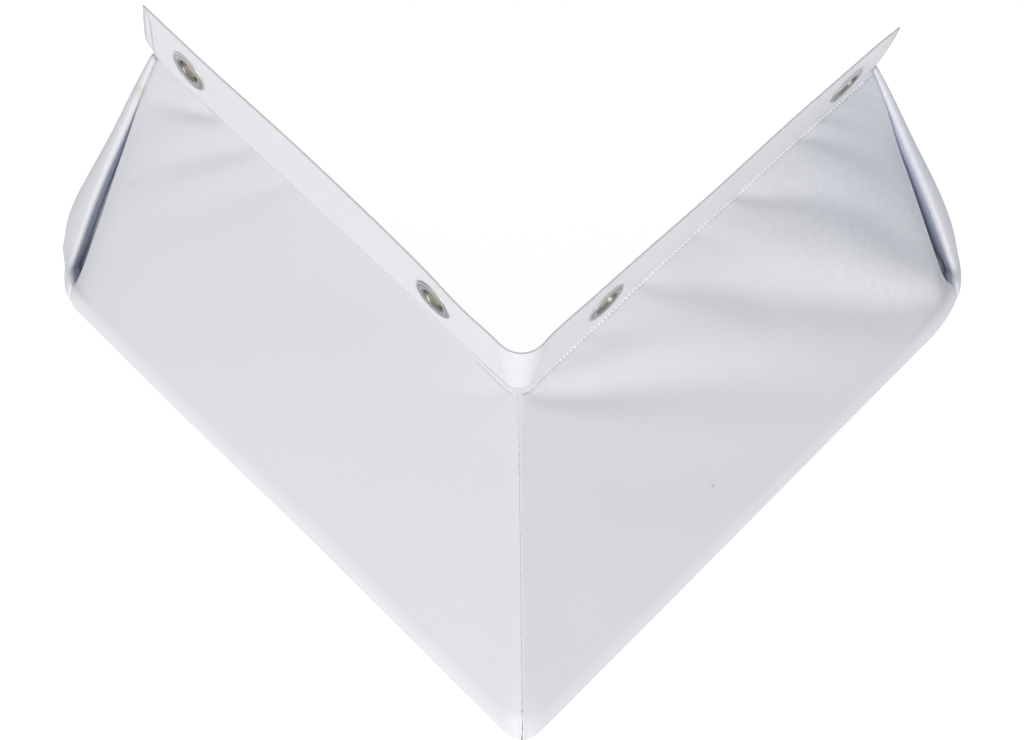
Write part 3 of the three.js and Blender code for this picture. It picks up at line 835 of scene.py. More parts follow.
def eyelet_profile(hole, outer):
    """The ring with its bead and crest, its funnel and barrel, and the roll behind the washer, as (radius,
    height) points that start under the ring."""
    roll_top = -STRIP_FRONT - CLEARANCE - WASHER_THICKNESS - CLEARANCE
    barrel = hole + GROMMET_METAL
    crest = lerp(hole, outer, 0.47)
    return np.array([
        (barrel + 0.1, 0.1), (outer - 0.3, 0.05), (outer, 0.2), (outer - 0.02, 0.4), (outer - 0.3, 0.62),
        (outer - 0.75, 0.66), (outer - 1.2, 0.5), (outer - 1.7, 0.5), (outer - 2.4, 0.72),
        (lerp(crest, outer, 0.3), 0.92),
        (crest + 0.5, 1.08), (crest, 1.12), (crest - 0.5, 1.05), (crest - 1.1, 0.85), (crest - 1.7, 0.55),
        (hole + 1.0, 0.2), (hole + 0.66, -0.3), (hole + 0.4, -1.1), (hole + 0.15, -2.1), (hole, -3.0),
        (hole, roll_top - 0.8), (hole + 0.3, roll_top - 1.25), (barrel, roll_top - 1.45),
        (barrel + 1.0, roll_top - 1.35), (barrel + 1.7, roll_top - 0.8), (barrel + 1.9, roll_top),
        (barrel, roll_top),
    ])


def painted_light_scale(profile, hole, outer):
    """Where a ring of points lies on the plate's colour scale, which paints light and shade: 0 a painted
    highlight at the edge, 1 deep in the barrel.
    """
    radius, height = profile[:, 0], profile[:, 1]
    # painted highlights: the edge and, less strongly, the crest sit low on the scale
    ring = 0.35 - 0.35 * bell(radius, 0.5, outer - 0.5) - 0.12 * bell(radius, 0.7, lerp(hole, outer, 0.47))
    # painted shade: the funnel and the barrel sit high on the scale
    funnel = smooth(0.9, 0.1, height) * (radius < hole + 3)
    barrel = smooth(-0.6, -2.2, height)
    return np.clip(ring + 0.35 * funnel + 0.4 * barrel * (radius < hole + 0.5), 0, 1)


def build_grommet(level, side, spot, hole, width, material):
    """An eyelet and its washer, turned about the grommet's own axis."""
    along = (GROMMET_NEAR if spot == "near" else GROMMET_FAR) * (-1 if side == "left" else 1)
    turn, place = grommet_frame(along, GROMMET_Z * LEVELS[level])
    sides = 72
    top = -STRIP_FRONT - CLEARANCE
    low = top - WASHER_THICKNESS
    inner = hole / 2 + GROMMET_METAL + CLEARANCE
    washer = rounded([(inner, top), (inner, low), (WASHER_RADIUS, low), (WASHER_RADIUS, top)], 0.3, 4)
    for kind, profile in (("eyelet", eyelet_profile(hole / 2, width / 2)), ("washer", washer)):
        rings = turned(profile, sides)
        points = rings.reshape(-1, 3) @ turn.T + place
        eyelet = kind == "eyelet"
        # the eyelet's rings take their place on the scale of painted light; the washer stays grey
        tone = painted_light_scale(profile, hole / 2, width / 2) if eyelet else np.full(len(profile), 0.3)
        uv = np.stack([np.repeat(tone, sides), np.zeros(len(points))], -1) / MM
        faces = tube_faces(len(profile), sides)
        piece = new_piece(f"{kind}_ring_{level}_{side}_{spot}", points, faces, [material], uv_mm=uv)
        point_outwards(piece)
        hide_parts(f"{kind}_{level}_{side}_{spot}")


def point_outwards(piece):
    """Turns the faces of a closed mesh outwards, by the sign of its volume."""
    mesh = piece.data
    count = len(mesh.vertices)
    co = np.empty(count * 3)
    mesh.vertices.foreach_get("co", co)
    co = co.reshape(-1, 3)
    mesh.calc_loop_triangles()
    tri = np.empty(len(mesh.loop_triangles) * 3, np.int32)
    mesh.loop_triangles.foreach_get("vertices", tri)
    a, b, c = (co[tri.reshape(-1, 3)[:, k]] for k in range(3))
    if np.einsum("ij,ij->", a, np.cross(b, c)) < 0:
        mesh.flip_normals()


# Stitching

# Half length, half width and slant of the beads, and how deep the dark beads that paint the shade
# between the bold stitches lie below the stitches
BOLD_STITCH = (1.35, 0.95, 0.6)
FINE_STITCH = (0.75, 0.5, 0.0)
GAP_SHADE_BEAD = (0.45, 0.7, 0.6)
MITRE_STITCH = (0.7, 0.2, 0.3)
GAP_SHADE_SINK = 0.35


def bead(around, along):
    """A unit ellipsoid along X as points and faces, with a pole at each end."""
    lat = np.linspace(-np.pi / 2, np.pi / 2, along + 2)[1:-1]
    lon = np.linspace(0, 2 * np.pi, around, endpoint=False)
    rings = np.stack(np.broadcast_arrays(
        np.sin(lat)[:, None], np.cos(lat)[:, None] * np.cos(lon), np.cos(lat)[:, None] * np.sin(lon)), -1)
    points = np.concatenate([rings.reshape(-1, 3), [[-1, 0, 0]], [[1, 0, 0]]], 0)
    n = len(lat) * around
    faces = grid_faces(len(lat), around, loop=True, flip=True)
    faces += fan_faces(0, around, n) + fan_faces(n - around, around, n + 1, flip=True)
    return points, faces


def build_stitches(name, centres, way, normal, half_length, half_width, slant, material):
    """One mesh of thread beads: each lies along the seam, turned by slant in the plane of the face."""
    unit, unit_faces = bead(8, 5)
    way = way / np.linalg.norm(way, axis=1)[:, None]
    side = np.cross(normal, way)
    side /= np.linalg.norm(side, axis=1)[:, None]
    normal = np.cross(way, side)
    along = way * math.cos(slant) + side * math.sin(slant)
    across = side * math.cos(slant) - way * math.sin(slant)
    points = (
        centres[:, None]
        + unit[None, :, :1] * along[:, None] * half_length
        + unit[None, :, 1:2] * across[:, None] * half_width
        + unit[None, :, 2:] * normal[:, None] * half_width
    )
    count = len(unit)
    faces = [[i + k * count for i in face] for k in range(len(centres)) for face in unit_faces]
    piece = new_piece(name, points, faces, [material])
    point_outwards(piece)


def seam_line(side, level, pitch, reach, rise):
    """Centres, directions and outward normals of stitches at a reach from the dock, spaced by pitch."""
    first, last = 7, ARM_LENGTH - 14
    x = np.arange(first - reach, last, pitch / 4)
    q = np.full_like(x, (reach - LAYER) / (NOSE_CENTRE + NOSE_RADIUS * math.cos(NOSE_TURN) - LAYER))
    height = face_height(side, q, x, np.full_like(x, reach)) + rise
    actual, z = section(q, -height, LAYER)
    points = place_arm(side, x, actual, z * LEVELS[level])
    length = np.concatenate([[0], np.cumsum(np.linalg.norm(np.diff(points, axis=0), axis=1))])
    marks = np.arange(pitch / 2, length[-1], pitch)
    centres = np.stack([np.interp(marks, length, points[:, k]) for k in range(3)], 1)
    ahead = np.stack([np.interp(marks + 0.5, length, points[:, k]) for k in range(3)], 1)
    face = [0, -math.sin(SLOPE_FALL), LEVELS[level] * math.cos(SLOPE_FALL)]
    if side == "left":
        face = [face[1], face[0], face[2]]
    return centres, ahead - centres + 1e-9, np.broadcast_to(np.array(face), centres.shape)


def mitre_line(level, pitch):
    """Centres, directions and normals of the stitches that cross the mitre, down the upper or lower face."""
    reach = np.arange(8.0, NOSE_CENTRE + 6, pitch * math.cos(SLOPE_FALL))
    z = slope_height(0.5, reach) * LEVELS[level]
    centres = np.stack([-reach * DEPTH_SCALE["left"][0], -reach * DEPTH_SCALE["right"][0], z], 1)
    way = np.broadcast_to(np.array([1.0, -1.0, 0.0]), centres.shape)
    normal = np.broadcast_to(np.array([-0.4, -0.4, LEVELS[level] * 0.82]), centres.shape)
    return centres, way, normal


# Materials


def node_group(name, inputs, outputs):
    """An empty shader group. Inputs are (name, type, default) and outputs (name, type)."""
    group = bpy.data.node_groups.new(name, "ShaderNodeTree")
    for label, kind, default in inputs:
        socket = group.interface.new_socket(label, in_out="INPUT", socket_type=kind)
        if default is not None:
            socket.default_value = default
    for label, kind in outputs:
        group.interface.new_socket(label, in_out="OUTPUT", socket_type=kind)
    enter = group.nodes.new("NodeGroupInput")
    leave = group.nodes.new("NodeGroupOutput")
    return group, enter, leave


def add(tree, kind, links=(), **settings):
    """A node with its settings and its input links, each (input, output socket or value)."""
    node = tree.nodes.new(kind)
    for name, value in settings.items():
        setattr(node, name, value)
    for name, source in links:
        if isinstance(source, bpy.types.NodeSocket):
            tree.links.new(source, node.inputs[name])
        else:
            node.inputs[name].default_value = source
    return node


def math_node(tree, operation, *sources):
    """The output of a Math node on up to three sockets or values."""
    return add(tree, "ShaderNodeMath", enumerate(sources), operation=operation).outputs[0]


FLOAT, VECTOR = "NodeSocketFloat", "NodeSocketVector"


def grain_group():
    """Fine embossed grain: pebbles of a Voronoi cell pattern under a finer noise, as one height."""
    group, enter, leave = node_group(
        "embossed_grain", [("Vector", VECTOR, None), ("Scale", FLOAT, 1400.0)], [("Height", FLOAT)]
    )
    cells = add(group, "ShaderNodeTexVoronoi",
                [("Vector", enter.outputs["Vector"]), ("Scale", enter.outputs["Scale"])], feature="SMOOTH_F1")
    fine = add(group, "ShaderNodeTexNoise",
               [("Vector", enter.outputs["Vector"]), ("Scale", enter.outputs["Scale"]), ("Detail", 2.0)])
    total = math_node(group, "ADD", cells.outputs["Distance"], fine.outputs["Fac"])
    group.links.new(total, leave.inputs["Height"])
    return group


def weave_group():
    """The scrim under the vinyl: two crossed sets of threads that stand out faintly, as one height."""
    group, enter, leave = node_group(
        "woven_scrim", [("Vector", VECTOR, None), ("Threads", FLOAT, 900.0)], [("Height", FLOAT)]
    )
    waves = []
    for direction in ("X", "Y"):
        waves.append(add(group, "ShaderNodeTexWave", [
            ("Vector", enter.outputs["Vector"]), ("Scale", enter.outputs["Threads"]), ("Distortion", 0.6),
            ("Detail", 1.0), ("Detail Scale", 0.4),
        ], bands_direction=direction))
    high = math_node(group, "MAXIMUM", waves[0].outputs["Fac"], waves[1].outputs["Fac"])
    group.links.new(high, leave.inputs["Height"])
    return group


def mottle_group():
    """Uneven handling of a surface: one noise, spread out as a mask from 0 to 1."""
    group, enter, leave = node_group(
        "handling_mottle", [("Vector", VECTOR, None), ("Scale", FLOAT, 18.0)], [("Mask", FLOAT)]
    )
    broad = add(group, "ShaderNodeTexNoise", [
        ("Vector", enter.outputs["Vector"]), ("Scale", enter.outputs["Scale"]), ("Detail", 5.0),
        ("Roughness", 0.6),
    ])
    spread = add(group, "ShaderNodeMapRange", [
        ("Value", broad.outputs["Fac"]), ("From Min", 0.35), ("From Max", 0.65),
    ])
    group.links.new(spread.outputs["Result"], leave.inputs["Mask"])
    return group


def spot_group():
    """A soft round mark at a place: 1 at its middle, 0 from its radius on, broken up by noise."""
    group, enter, leave = node_group(
        "soft_mark", [("Vector", VECTOR, None), ("Place", VECTOR, None), ("Radius", FLOAT, 0.01)],
        [("Mask", FLOAT)],
    )
    noise = add(group, "ShaderNodeTexNoise", [("Vector", enter.outputs["Vector"]), ("Scale", 260.0)])
    apart = add(group, "ShaderNodeVectorMath", [(0, enter.outputs["Vector"]), (1, enter.outputs["Place"])],
                operation="DISTANCE")
    share = math_node(group, "DIVIDE", apart.outputs["Value"], enter.outputs["Radius"])
    rough = math_node(group, "MULTIPLY_ADD", noise.outputs["Fac"], 0.9, share)
    mask = add(group, "ShaderNodeMapRange", [
        ("Value", rough), ("From Min", 0.45), ("From Max", 1.35), ("To Min", 1.0), ("To Max", 0.0),
    ], interpolation_type="SMOOTHSTEP")
    group.links.new(mask.outputs["Result"], leave.inputs["Mask"])
    return group


def placed_group(tree, group, links):
    """The output of a group that is placed in a material."""
    return add(tree, "ShaderNodeGroup", links, node_tree=group).outputs[0]


def mix(tree, fac, a, b, blend="MIX"):
    """The output of a colour mix. Its colour sockets stand after those of the other data types."""
    return add(tree, "ShaderNodeMix", [(0, fac), (6, a), (7, b)], data_type="RGBA", blend_type=blend).outputs[2]


def scaled(tree, socket, factor):
    """A socket's value times a factor."""
    return math_node(tree, "MULTIPLY", socket, factor)


def bumped(tree, shader, height, strength, distance):
    """A height that shows as bump in a shader's normal."""
    bump = add(tree, "ShaderNodeBump", [("Height", height), ("Strength", strength), ("Distance", distance)])
    tree.links.new(bump.outputs[0], shader.inputs["Normal"])


def base_material(name, roughness, metallic=0.0, specular=0.5):
    """A new material's node tree, its shader, and its Object and UV coordinates."""
    material = bpy.data.materials.new(name)
    material.use_nodes = True
    tree = material.node_tree
    shader = tree.nodes["Principled BSDF"]
    shader.inputs["Roughness"].default_value = roughness
    shader.inputs["Metallic"].default_value = metallic
    shader.inputs["Specular IOR Level"].default_value = specular
    place = add(tree, "ShaderNodeTexCoord")
    return tree, shader, place.outputs["Object"], place.outputs["UV"]


def rgba(color):
    """A colour with full alpha."""
    return (*color[:3], 1.0)


def vinyl_material(name, groups, look, tone, marks=()):
    """Embossed vinyl: a mottled tone with faint marks, stains and painted shade among them, the scrim and the
    grain as bump.
    """
    tree, shader, place, uv = base_material(name, 0.44, specular=0.45)
    mask = placed_group(tree, groups["mottle"], [("Vector", place), ("Scale", 16.0)])
    fine = placed_group(tree, groups["mottle"], [("Vector", place), ("Scale", 210.0)])
    color = mix(tree, scaled(tree, mask, 0.35), rgba(tone), rgba([c * 0.975 for c in tone[:3]]))
    color = mix(tree, scaled(tree, fine, 0.12), color, rgba([c * 0.95 for c in tone[:3]]))
    for spot, radius, tint, strength in marks:
        found = placed_group(tree, groups["spot"], [
            ("Vector", place), ("Place", tuple(v * MM for v in spot)), ("Radius", radius * MM),
        ])
        color = mix(tree, scaled(tree, found, strength), color, rgba(tint))
    tree.links.new(color, shader.inputs["Base Color"])
    rough = add(tree, "ShaderNodeMapRange", [("Value", mask), ("To Min", 0.40), ("To Max", 0.5)])
    tree.links.new(rough.outputs["Result"], shader.inputs["Roughness"])
    grain = placed_group(tree, groups["grain"], [("Vector", place), ("Scale", look.grain)])
    turned_uv = add(tree, "ShaderNodeMapping", [("Vector", uv), ("Rotation", (0, 0, math.radians(-32)))])
    scrim = placed_group(tree, groups["weave"], [("Vector", turned_uv.outputs[0]), ("Threads", 330.0)])
    bumped(tree, shader, math_node(tree, "MULTIPLY_ADD", scrim, 0.8, grain), 0.18, 0.00012)


def edge_material(groups):
    """The cut edge: white vinyl, clouded by the tan of its scrim."""
    tree, shader, place, _ = base_material("cut_edge", 0.8, specular=0.2)
    mask = placed_group(tree, groups["mottle"], [("Vector", place), ("Scale", 900.0)])
    color = mix(tree, mask, (0.80, 0.79, 0.75, 1), (0.92, 0.91, 0.88, 1))
    tree.links.new(color, shader.inputs["Base Color"])


def foam_material():
    """Closed-cell foam: fine pores as bump and as darker specks."""
    tree, shader, place, _ = base_material("closed_cell_foam", 0.9, specular=0.15)
    pores = add(tree, "ShaderNodeTexVoronoi", [("Vector", place), ("Scale", 700.0)]).outputs["Distance"]
    dark = add(tree, "ShaderNodeMapRange", [("Value", pores), ("From Min", 0.0), ("From Max", 0.35)])
    color = mix(tree, dark.outputs[0], (0.3, 0.32, 0.34, 1), (0.52, 0.54, 0.56, 1))
    tree.links.new(color, shader.inputs["Base Color"])
    bumped(tree, shader, pores, 0.5, 0.0004)


def nickel_material(groups, look):
    """Satin nickel plate. Its tone follows a scale of painted light: a painted highlight at the edge, then
    grey, painted shade in the funnel and a brassy painted highlight in the barrel. Clouds and a fine roughness
    lie over it."""
    tree, shader, place, uv = base_material("satin_nickel", 0.3, metallic=1.0)
    scale = add(tree, "ShaderNodeSeparateXYZ", [("Vector", uv)])
    ramp = add(tree, "ShaderNodeValToRGB", [("Fac", scale.outputs["X"])])
    grey = look.color[:3]
    # painted light: the edge stop is a highlight at 1.9 times the grey, the darker stops paint shade in the
    # funnel and barrel, and the brassy last stop paints the barrel's warm highlight
    stops = [(0.0, [min(c * 1.9, 1) for c in grey]), (0.3, grey), (0.62, [c * 0.42 for c in grey]),
             (0.8, (0.24, 0.235, 0.19)), (1.0, (0.60, 0.56, 0.44))]
    while len(ramp.color_ramp.elements) < len(stops):
        ramp.color_ramp.elements.new(0.5)
    for element, (at, color) in zip(ramp.color_ramp.elements, stops):
        element.position, element.color = at, rgba(color)
    cloud = placed_group(tree, groups["mottle"], [("Vector", place), ("Scale", 240.0)])
    dimmed = mix(tree, scaled(tree, cloud, 0.5), ramp.outputs["Color"], (0.75, 0.75, 0.76, 1), "MULTIPLY")
    tree.links.new(dimmed, shader.inputs["Base Color"])
    rough = add(tree, "ShaderNodeMapRange", [("Value", cloud), ("To Min", 0.22), ("To Max", 0.38)])
    tree.links.new(rough.outputs["Result"], shader.inputs["Roughness"])
    scratch = add(tree, "ShaderNodeTexNoise", [("Vector", place), ("Scale", 2600.0), ("Detail", 3.0)])
    bumped(tree, shader, scratch.outputs["Fac"], 0.12, 0.0001)


def thread_material(name, groups, tone):
    """Twisted thread: its plies as bump and as slightly darker lines."""
    tree, shader, place, _ = base_material(name, 0.55, specular=0.3)
    plies = placed_group(tree, groups["weave"], [("Vector", place), ("Threads", 900.0)])
    color = mix(tree, scaled(tree, plies, 0.25), rgba(tone), rgba([c * 0.85 for c in tone[:3]]))
    tree.links.new(color, shader.inputs["Base Color"])
    bumped(tree, shader, plies, 0.3, 0.0002)


def shop_materials():
    """All materials, made once and found again by name. A mark is (place, radius, tint, strength): the stain
    and the soil of the left arm, a speck, painted shade over the right arm's end, and the tan tip above it."""
    scene = bpy.context.scene
    if "vinyl_face" in bpy.data.materials:
        return {m.name: m for m in bpy.data.materials}
    groups = {"grain": grain_group(), "weave": weave_group(), "mottle": mottle_group(), "spot": spot_group()}
    marks = (
        ((-20, 299, 83), 9.0, (0.62, 0.60, 0.45), 0.5),
        ((-37, -17, 71), 13.0, (0.60, 0.59, 0.56), 0.1),
        ((61, -102.9, 26.9), 2.0, (0.2, 0.2, 0.23), 0.4),
        # painted shade: a lilac-grey tint that darkens the right arm's end
        ((268, -36, 70), 115.0, (0.56, 0.58, 0.66), 0.45),
        ((303, -7, 139), 17.0, (0.60, 0.56, 0.46), 0.5),
    )
    vinyl = scene.bumper_vinyl
    vinyl_material("vinyl_face", groups, vinyl, vinyl.color, marks)
    vinyl_material("vinyl_back", groups, vinyl, vinyl.color)
    # darker blue-grey vinyl that paints the shade inside the end pockets
    vinyl_material("vinyl_tuck", groups, vinyl, vinyl.pocket_shade)
    edge_material(groups)
    foam_material()
    nickel_material(groups, scene.bumper_grommets)
    thread_material("bold_thread", groups, scene.bumper_seams.thread)
    thread_material("fine_thread", groups, scene.bumper_seams.fine_thread)
    return {m.name: m for m in bpy.data.materials}


# Stage


def add_camera():
    """A 63 mm view from above the corner, at the photograph's angle. It is aimed off the corner's seam by aim
    to the right and up."""
    yaw, rise, roll = (math.radians(a) for a in (50.37, 66.2, 5.58))
    focal_px, image_px, distance, aim = 1797.0, 1024, 991.0, (3.5, -11.2)
    back = Vector((-math.sin(yaw) * math.cos(rise), -math.cos(yaw) * math.cos(rise), math.sin(rise)))
    right = (-back).cross(Vector((0, 0, 1))).normalized()
    up = right.cross(-back)
    right, up = right * math.cos(roll) + up * math.sin(roll), up * math.cos(roll) - right * math.sin(roll)
    place = Vector((0, 0, 96.0)) + back * distance - right * aim[0] - up * aim[1]
    data = bpy.data.cameras.new("view")
    data.sensor_width = 36
    data.lens = focal_px * data.sensor_width / image_px
    data.clip_start = 0.05
    data.clip_end = 30
    camera = bpy.data.objects.new("view", data)
    camera.matrix_world = Matrix.Translation(place * MM) @ Matrix((right, up, back)).transposed().to_4x4()
    bpy.context.scene.collection.objects.link(camera)
    bpy.context.scene.camera = camera


def add_lamp(name, place, size, power, color):
    """A soft rectangular lamp that points at the corner."""
    data = bpy.data.lights.new(name, "AREA")
    data.shape = "RECTANGLE"
    data.size, data.size_y = size
    data.energy = power
    data.color = color
    lamp = bpy.data.objects.new(name, data)
    lamp.location = place
    lamp.rotation_euler = (-Vector(place)).to_track_quat("-Z", "Y").to_euler()
    bpy.context.scene.collection.objects.link(lamp)


def seen_mask(tree):
    """1 for camera, glossy and transmission rays."""
    path = add(tree, "ShaderNodeLightPath")
    first = math_node(tree, "MAXIMUM", path.outputs["Is Camera Ray"], path.outputs["Is Glossy Ray"])
    return math_node(tree, "MAXIMUM", first, path.outputs["Is Transmission Ray"])


def choose(tree, unseen, seen, kind):
    """Sends one shader to the output for the rays that see the stage, and another for those that light."""
    chosen = add(tree, "ShaderNodeMixShader", [
        ("Fac", seen_mask(tree)), (1, unseen.outputs[0]), (2, seen.outputs[0]),
    ])
    add(tree, kind, [("Surface", chosen.outputs[0])])


def add_world(level):
    """An even bluish light, which looks white where it is seen."""
    world = bpy.data.worlds.new("studio")
    world.use_nodes = True
    tree = world.node_tree
    tree.nodes.clear()
    plain = add(tree, "ShaderNodeBackground", [("Color", (0.9, 0.945, 1.0, 1)), ("Strength", level)])
    white = add(tree, "ShaderNodeBackground", [("Color", (1, 1, 1, 1)), ("Strength", 1.0)])
    choose(tree, plain, white, "ShaderNodeOutputWorld")
    bpy.context.scene.world = world


def add_floor(look):
    """A pale floor under the lower flange. Seen directly it is white, and keeps a soft shadow."""
    size = 6.0
    z = CAD_BOX[0][2] - 0.0005
    corners = [(-size, -size, z), (size, -size, z), (size, size, z), (-size, size, z)]
    mesh = bpy.data.meshes.new("floor")
    mesh.from_pydata(corners, [], [(0, 1, 2, 3)])
    material = bpy.data.materials.new("pale_floor")
    material.use_nodes = True
    tree = material.node_tree
    tree.nodes.clear()
    pale = add(tree, "ShaderNodeBsdfDiffuse", [("Color", rgba(look.floor))])
    shade = add(tree, "ShaderNodeBsdfDiffuse", [("Color", (0.4, 0.4, 0.4, 1))])
    glow = add(tree, "ShaderNodeEmission", [("Color", (1, 1, 1, 1)), ("Strength", 0.8)])
    seen = add(tree, "ShaderNodeAddShader", [(0, shade.outputs[0]), (1, glow.outputs[0])])
    choose(tree, pale, seen, "ShaderNodeOutputMaterial")
    mesh.materials.append(material)
    floor = bpy.data.objects.new("floor", mesh)
    bpy.context.scene.collection.objects.link(floor)


# Settings


class BumperVinyl(bpy.types.PropertyGroup):
    color: bpy.props.FloatVectorProperty(
        name="Vinyl", description="Colour of the vinyl", subtype="COLOR", size=3, min=0, max=1,
        default=(0.782, 0.77, 0.792),
    )
    # painted shade: a darker blue-grey for the vinyl inside the end pockets, where shade falls
    pocket_shade: bpy.props.FloatVectorProperty(
        name="Tucks", description="Colour of the vinyl inside the end pockets", subtype="COLOR", size=3,
        min=0, max=1, default=(0.52, 0.56, 0.68),
    )
    grain: bpy.props.FloatProperty(
        name="Grain", description="Pebbles of the grain to the metre", default=1500.0, min=100.0, max=5000.0,
    )


class BumperGrommets(bpy.types.PropertyGroup):
    hole: bpy.props.FloatProperty(
        name="Hole", description="Inside diameter of a grommet", default=0.0127, unit="LENGTH",
    )
    width: bpy.props.FloatProperty(
        name="Width", description="Outside diameter of a grommet", default=0.027, unit="LENGTH",
    )
    color: bpy.props.FloatVectorProperty(
        name="Metal", description="Colour of the nickel plate", subtype="COLOR", size=3, min=0, max=1,
        default=(0.44, 0.44, 0.43),
    )


class BumperSeams(bpy.types.PropertyGroup):
    bold_pitch: bpy.props.FloatProperty(
        name="Bold pitch", description="Spacing of the bold stitches along the right flange",
        default=0.00275, unit="LENGTH",
    )
    fine_pitch: bpy.props.FloatProperty(
        name="Fine pitch", description="Spacing of the fine stitches along the other flanges",
        default=0.0021, unit="LENGTH",
    )
    thread: bpy.props.FloatVectorProperty(
        name="Bold thread", description="Colour of the bold thread", subtype="COLOR", size=3, min=0, max=1,
        default=(0.97, 0.97, 0.97),
    )
    fine_thread: bpy.props.FloatVectorProperty(
        name="Fine thread", description="Colour of the fine thread", subtype="COLOR", size=3, min=0, max=1,
        default=(0.36, 0.37, 0.45),
    )


class BumperStage(bpy.types.PropertyGroup):
    floor: bpy.props.FloatVectorProperty(
        name="Floor", description="Colour of the floor", subtype="COLOR", size=3, min=0, max=1,
        default=(0.8, 0.8, 0.8),
    )
    ambient: bpy.props.FloatProperty(
        name="Ambient", description="Strength of the even light", default=0.6, min=0.0, max=2.0,
    )
    key: bpy.props.FloatProperty(
        name="Key", description="Power of the large lamp", default=67.0, min=0.0, max=500.0, subtype="POWER",
    )


# Operators


class BUMPER_OT_stage(bpy.types.Operator):
    """Sets the camera, the soft studio light and the pale floor"""

    bl_idname = "bumper.stage"
    bl_label = "Stage"

    def execute(self, context):
        look = context.scene.bumper_stage
        add_camera()
        add_world(look.ambient)
        add_lamp("key", (-3.4, -1.95, 1.15), (2.6, 2.0), look.key, (1.0, 0.985, 0.955))
        add_lamp("fill", (-2.1, -2.3, 0.35), (2.4, 1.2), look.key * 0.38, (1.0, 0.99, 0.97))
        add_floor(look)
        return {"FINISHED"}


class BUMPER_OT_covers(bpy.types.Operator):
    """Builds the two folded front covers"""

    bl_idname = "bumper.covers"
    bl_label = "Front covers"

    def execute(self, context):
        found = shop_materials()
        for side in SIDES:
            build_cover(side, [found["vinyl_face"], found["cut_edge"], found["vinyl_tuck"]])
        return {"FINISHED"}


class BUMPER_OT_ends(bpy.types.Operator):
    """Builds the rolled and bulging end panels"""

    bl_idname = "bumper.ends"
    bl_label = "End panels"

    def execute(self, context):
        found = shop_materials()
        for side in SIDES:
            build_end(side, [found["vinyl_face"], found["cut_edge"], found["vinyl_tuck"]])
        return {"FINISHED"}


class BUMPER_OT_foam(bpy.types.Operator):
    """Builds the foam blocks inside the covers"""

    bl_idname = "bumper.foam"
    bl_label = "Foam blocks"

    def execute(self, context):
        found = shop_materials()
        for side in SIDES:
            build_foam(side, [found["closed_cell_foam"]])
        return {"FINISHED"}


class BUMPER_OT_flanges(bpy.types.Operator):
    """Builds the back panel and the flange strips"""

    bl_idname = "bumper.flanges"
    bl_label = "Flanges"

    def execute(self, context):
        found = shop_materials()
        flange = steps((SEAM_Z + CLEARANCE, EDGE_Z, 25))
        inner = steps((-EDGE_Z, -SEAM_Z, 24), (-SEAM_Z, SEAM_Z, 40), (SEAM_Z, EDGE_Z, 24))
        back = [found["vinyl_back"], found["cut_edge"]]
        face = [found["vinyl_face"], found["cut_edge"]]
        build_layer("back_sheet", "back_panel", VINYL, inner, LEVELS, back,
                    BACK_TRIM)
        build_layer("flange_upper", "upper_flange_strip", STRIP_FRONT, flange, ("upper",), face,
                    STRIP_TRIM)
        build_layer("flange_lower", "lower_flange_strip", STRIP_FRONT, -flange[::-1], ("lower",), face,
                    STRIP_TRIM)
        return {"FINISHED"}


class BUMPER_OT_grommets(bpy.types.Operator):
    """Builds the eight grommets, each an eyelet and a washer"""

    bl_idname = "bumper.grommets"
    bl_label = "Grommets"

    def execute(self, context):
        look = context.scene.bumper_grommets
        metal = shop_materials()["satin_nickel"]
        for level in LEVELS:
            for side in SIDES:
                for spot in ("near", "far"):
                    build_grommet(level, side, spot, look.hole / MM, look.width / MM, metal)
        return {"FINISHED"}


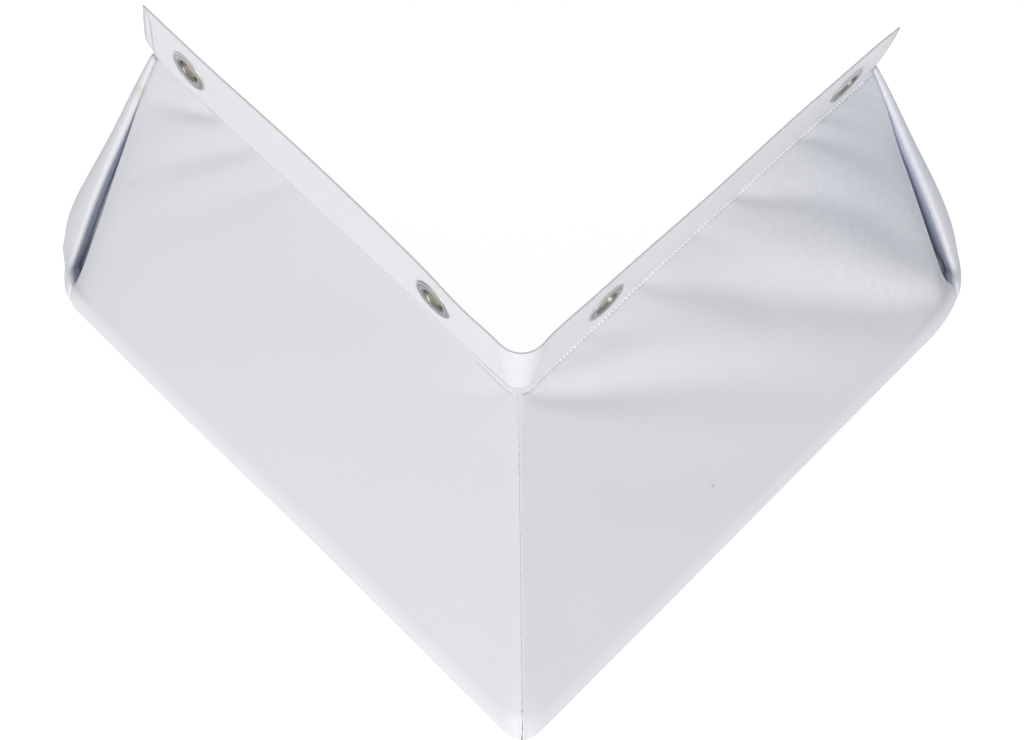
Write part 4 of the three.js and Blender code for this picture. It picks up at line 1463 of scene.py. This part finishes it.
class BUMPER_OT_stitching(bpy.types.Operator):
    """Builds the thread along the flange seams and the mitre"""

    bl_idname = "bumper.stitching"
    bl_label = "Stitching"

    def execute(self, context):
        look = context.scene.bumper_seams
        found = shop_materials()
        for level in LEVELS:
            for side in SIDES:
                bold = side == "right"
                pitch = (look.bold_pitch if bold else look.fine_pitch) / MM
                centres, way, normal = seam_line(side, level, pitch, SEAM_REACH[side], 0.8 if bold else 0.4)
                size = BOLD_STITCH if bold else FINE_STITCH
                thread = found["bold_thread" if bold else "fine_thread"]
                build_stitches(f"stitches_{level}_{side}", centres, way, normal, *size, thread)
                if bold:
                    # dark beads in the fine thread's colour between the bold stitches: painted shade in the
                    # gaps
                    normal = normal[:-1]
                    between = centres[:-1] + np.diff(centres, axis=0) / 2 - normal * GAP_SHADE_SINK
                    build_stitches(f"needle_marks_{level}_{side}", between, way[:-1], normal, *GAP_SHADE_BEAD,
                                   found["fine_thread"])
            line = mitre_line(level, MITRE_PITCH)
            build_stitches(f"stitches_mitre_{level}", *line, *MITRE_STITCH, found["fine_thread"])
        return {"FINISHED"}


class BUMPER_PT_panel(bpy.types.Panel):
    """Lists the steps that build the bumper"""

    bl_idname = "BUMPER_PT_panel"
    bl_label = "Dock Corner Bumper"
    bl_space_type = "VIEW_3D"
    bl_region_type = "UI"
    bl_category = "Bumper"

    def draw(self, context):
        for name in ("bumper_vinyl", "bumper_grommets", "bumper_seams", "bumper_stage"):
            group = getattr(context.scene, name)
            for key in group.__annotations__:
                self.layout.prop(group, key)
        for operator in OPERATORS:
            self.layout.operator(operator.bl_idname)


GROUPS = {
    "bumper_vinyl": BumperVinyl,
    "bumper_grommets": BumperGrommets,
    "bumper_seams": BumperSeams,
    "bumper_stage": BumperStage,
}
OPERATORS = (
    BUMPER_OT_stage,
    BUMPER_OT_covers,
    BUMPER_OT_ends,
    BUMPER_OT_foam,
    BUMPER_OT_flanges,
    BUMPER_OT_grommets,
    BUMPER_OT_stitching,
)


def register():
    """Registers the classes and hangs the settings on the scene."""
    for cls in (*GROUPS.values(), *OPERATORS, BUMPER_PT_panel):
        bpy.utils.register_class(cls)
    for name, group in GROUPS.items():
        setattr(bpy.types.Scene, name, bpy.props.PointerProperty(type=group))


def unregister():
    """Takes away what register put in."""
    for name in GROUPS:
        delattr(bpy.types.Scene, name)
    for cls in reversed((*GROUPS.values(), *OPERATORS, BUMPER_PT_panel)):
        bpy.utils.unregister_class(cls)


def main():
    """Builds the stage and every piece."""
    register()
    bpy.context.scene.view_settings.view_transform = "Standard"
    for operator in OPERATORS:
        group, name = operator.bl_idname.split(".")
        getattr(getattr(bpy.ops, group), name)()


if __name__ == "__main__":
    main()
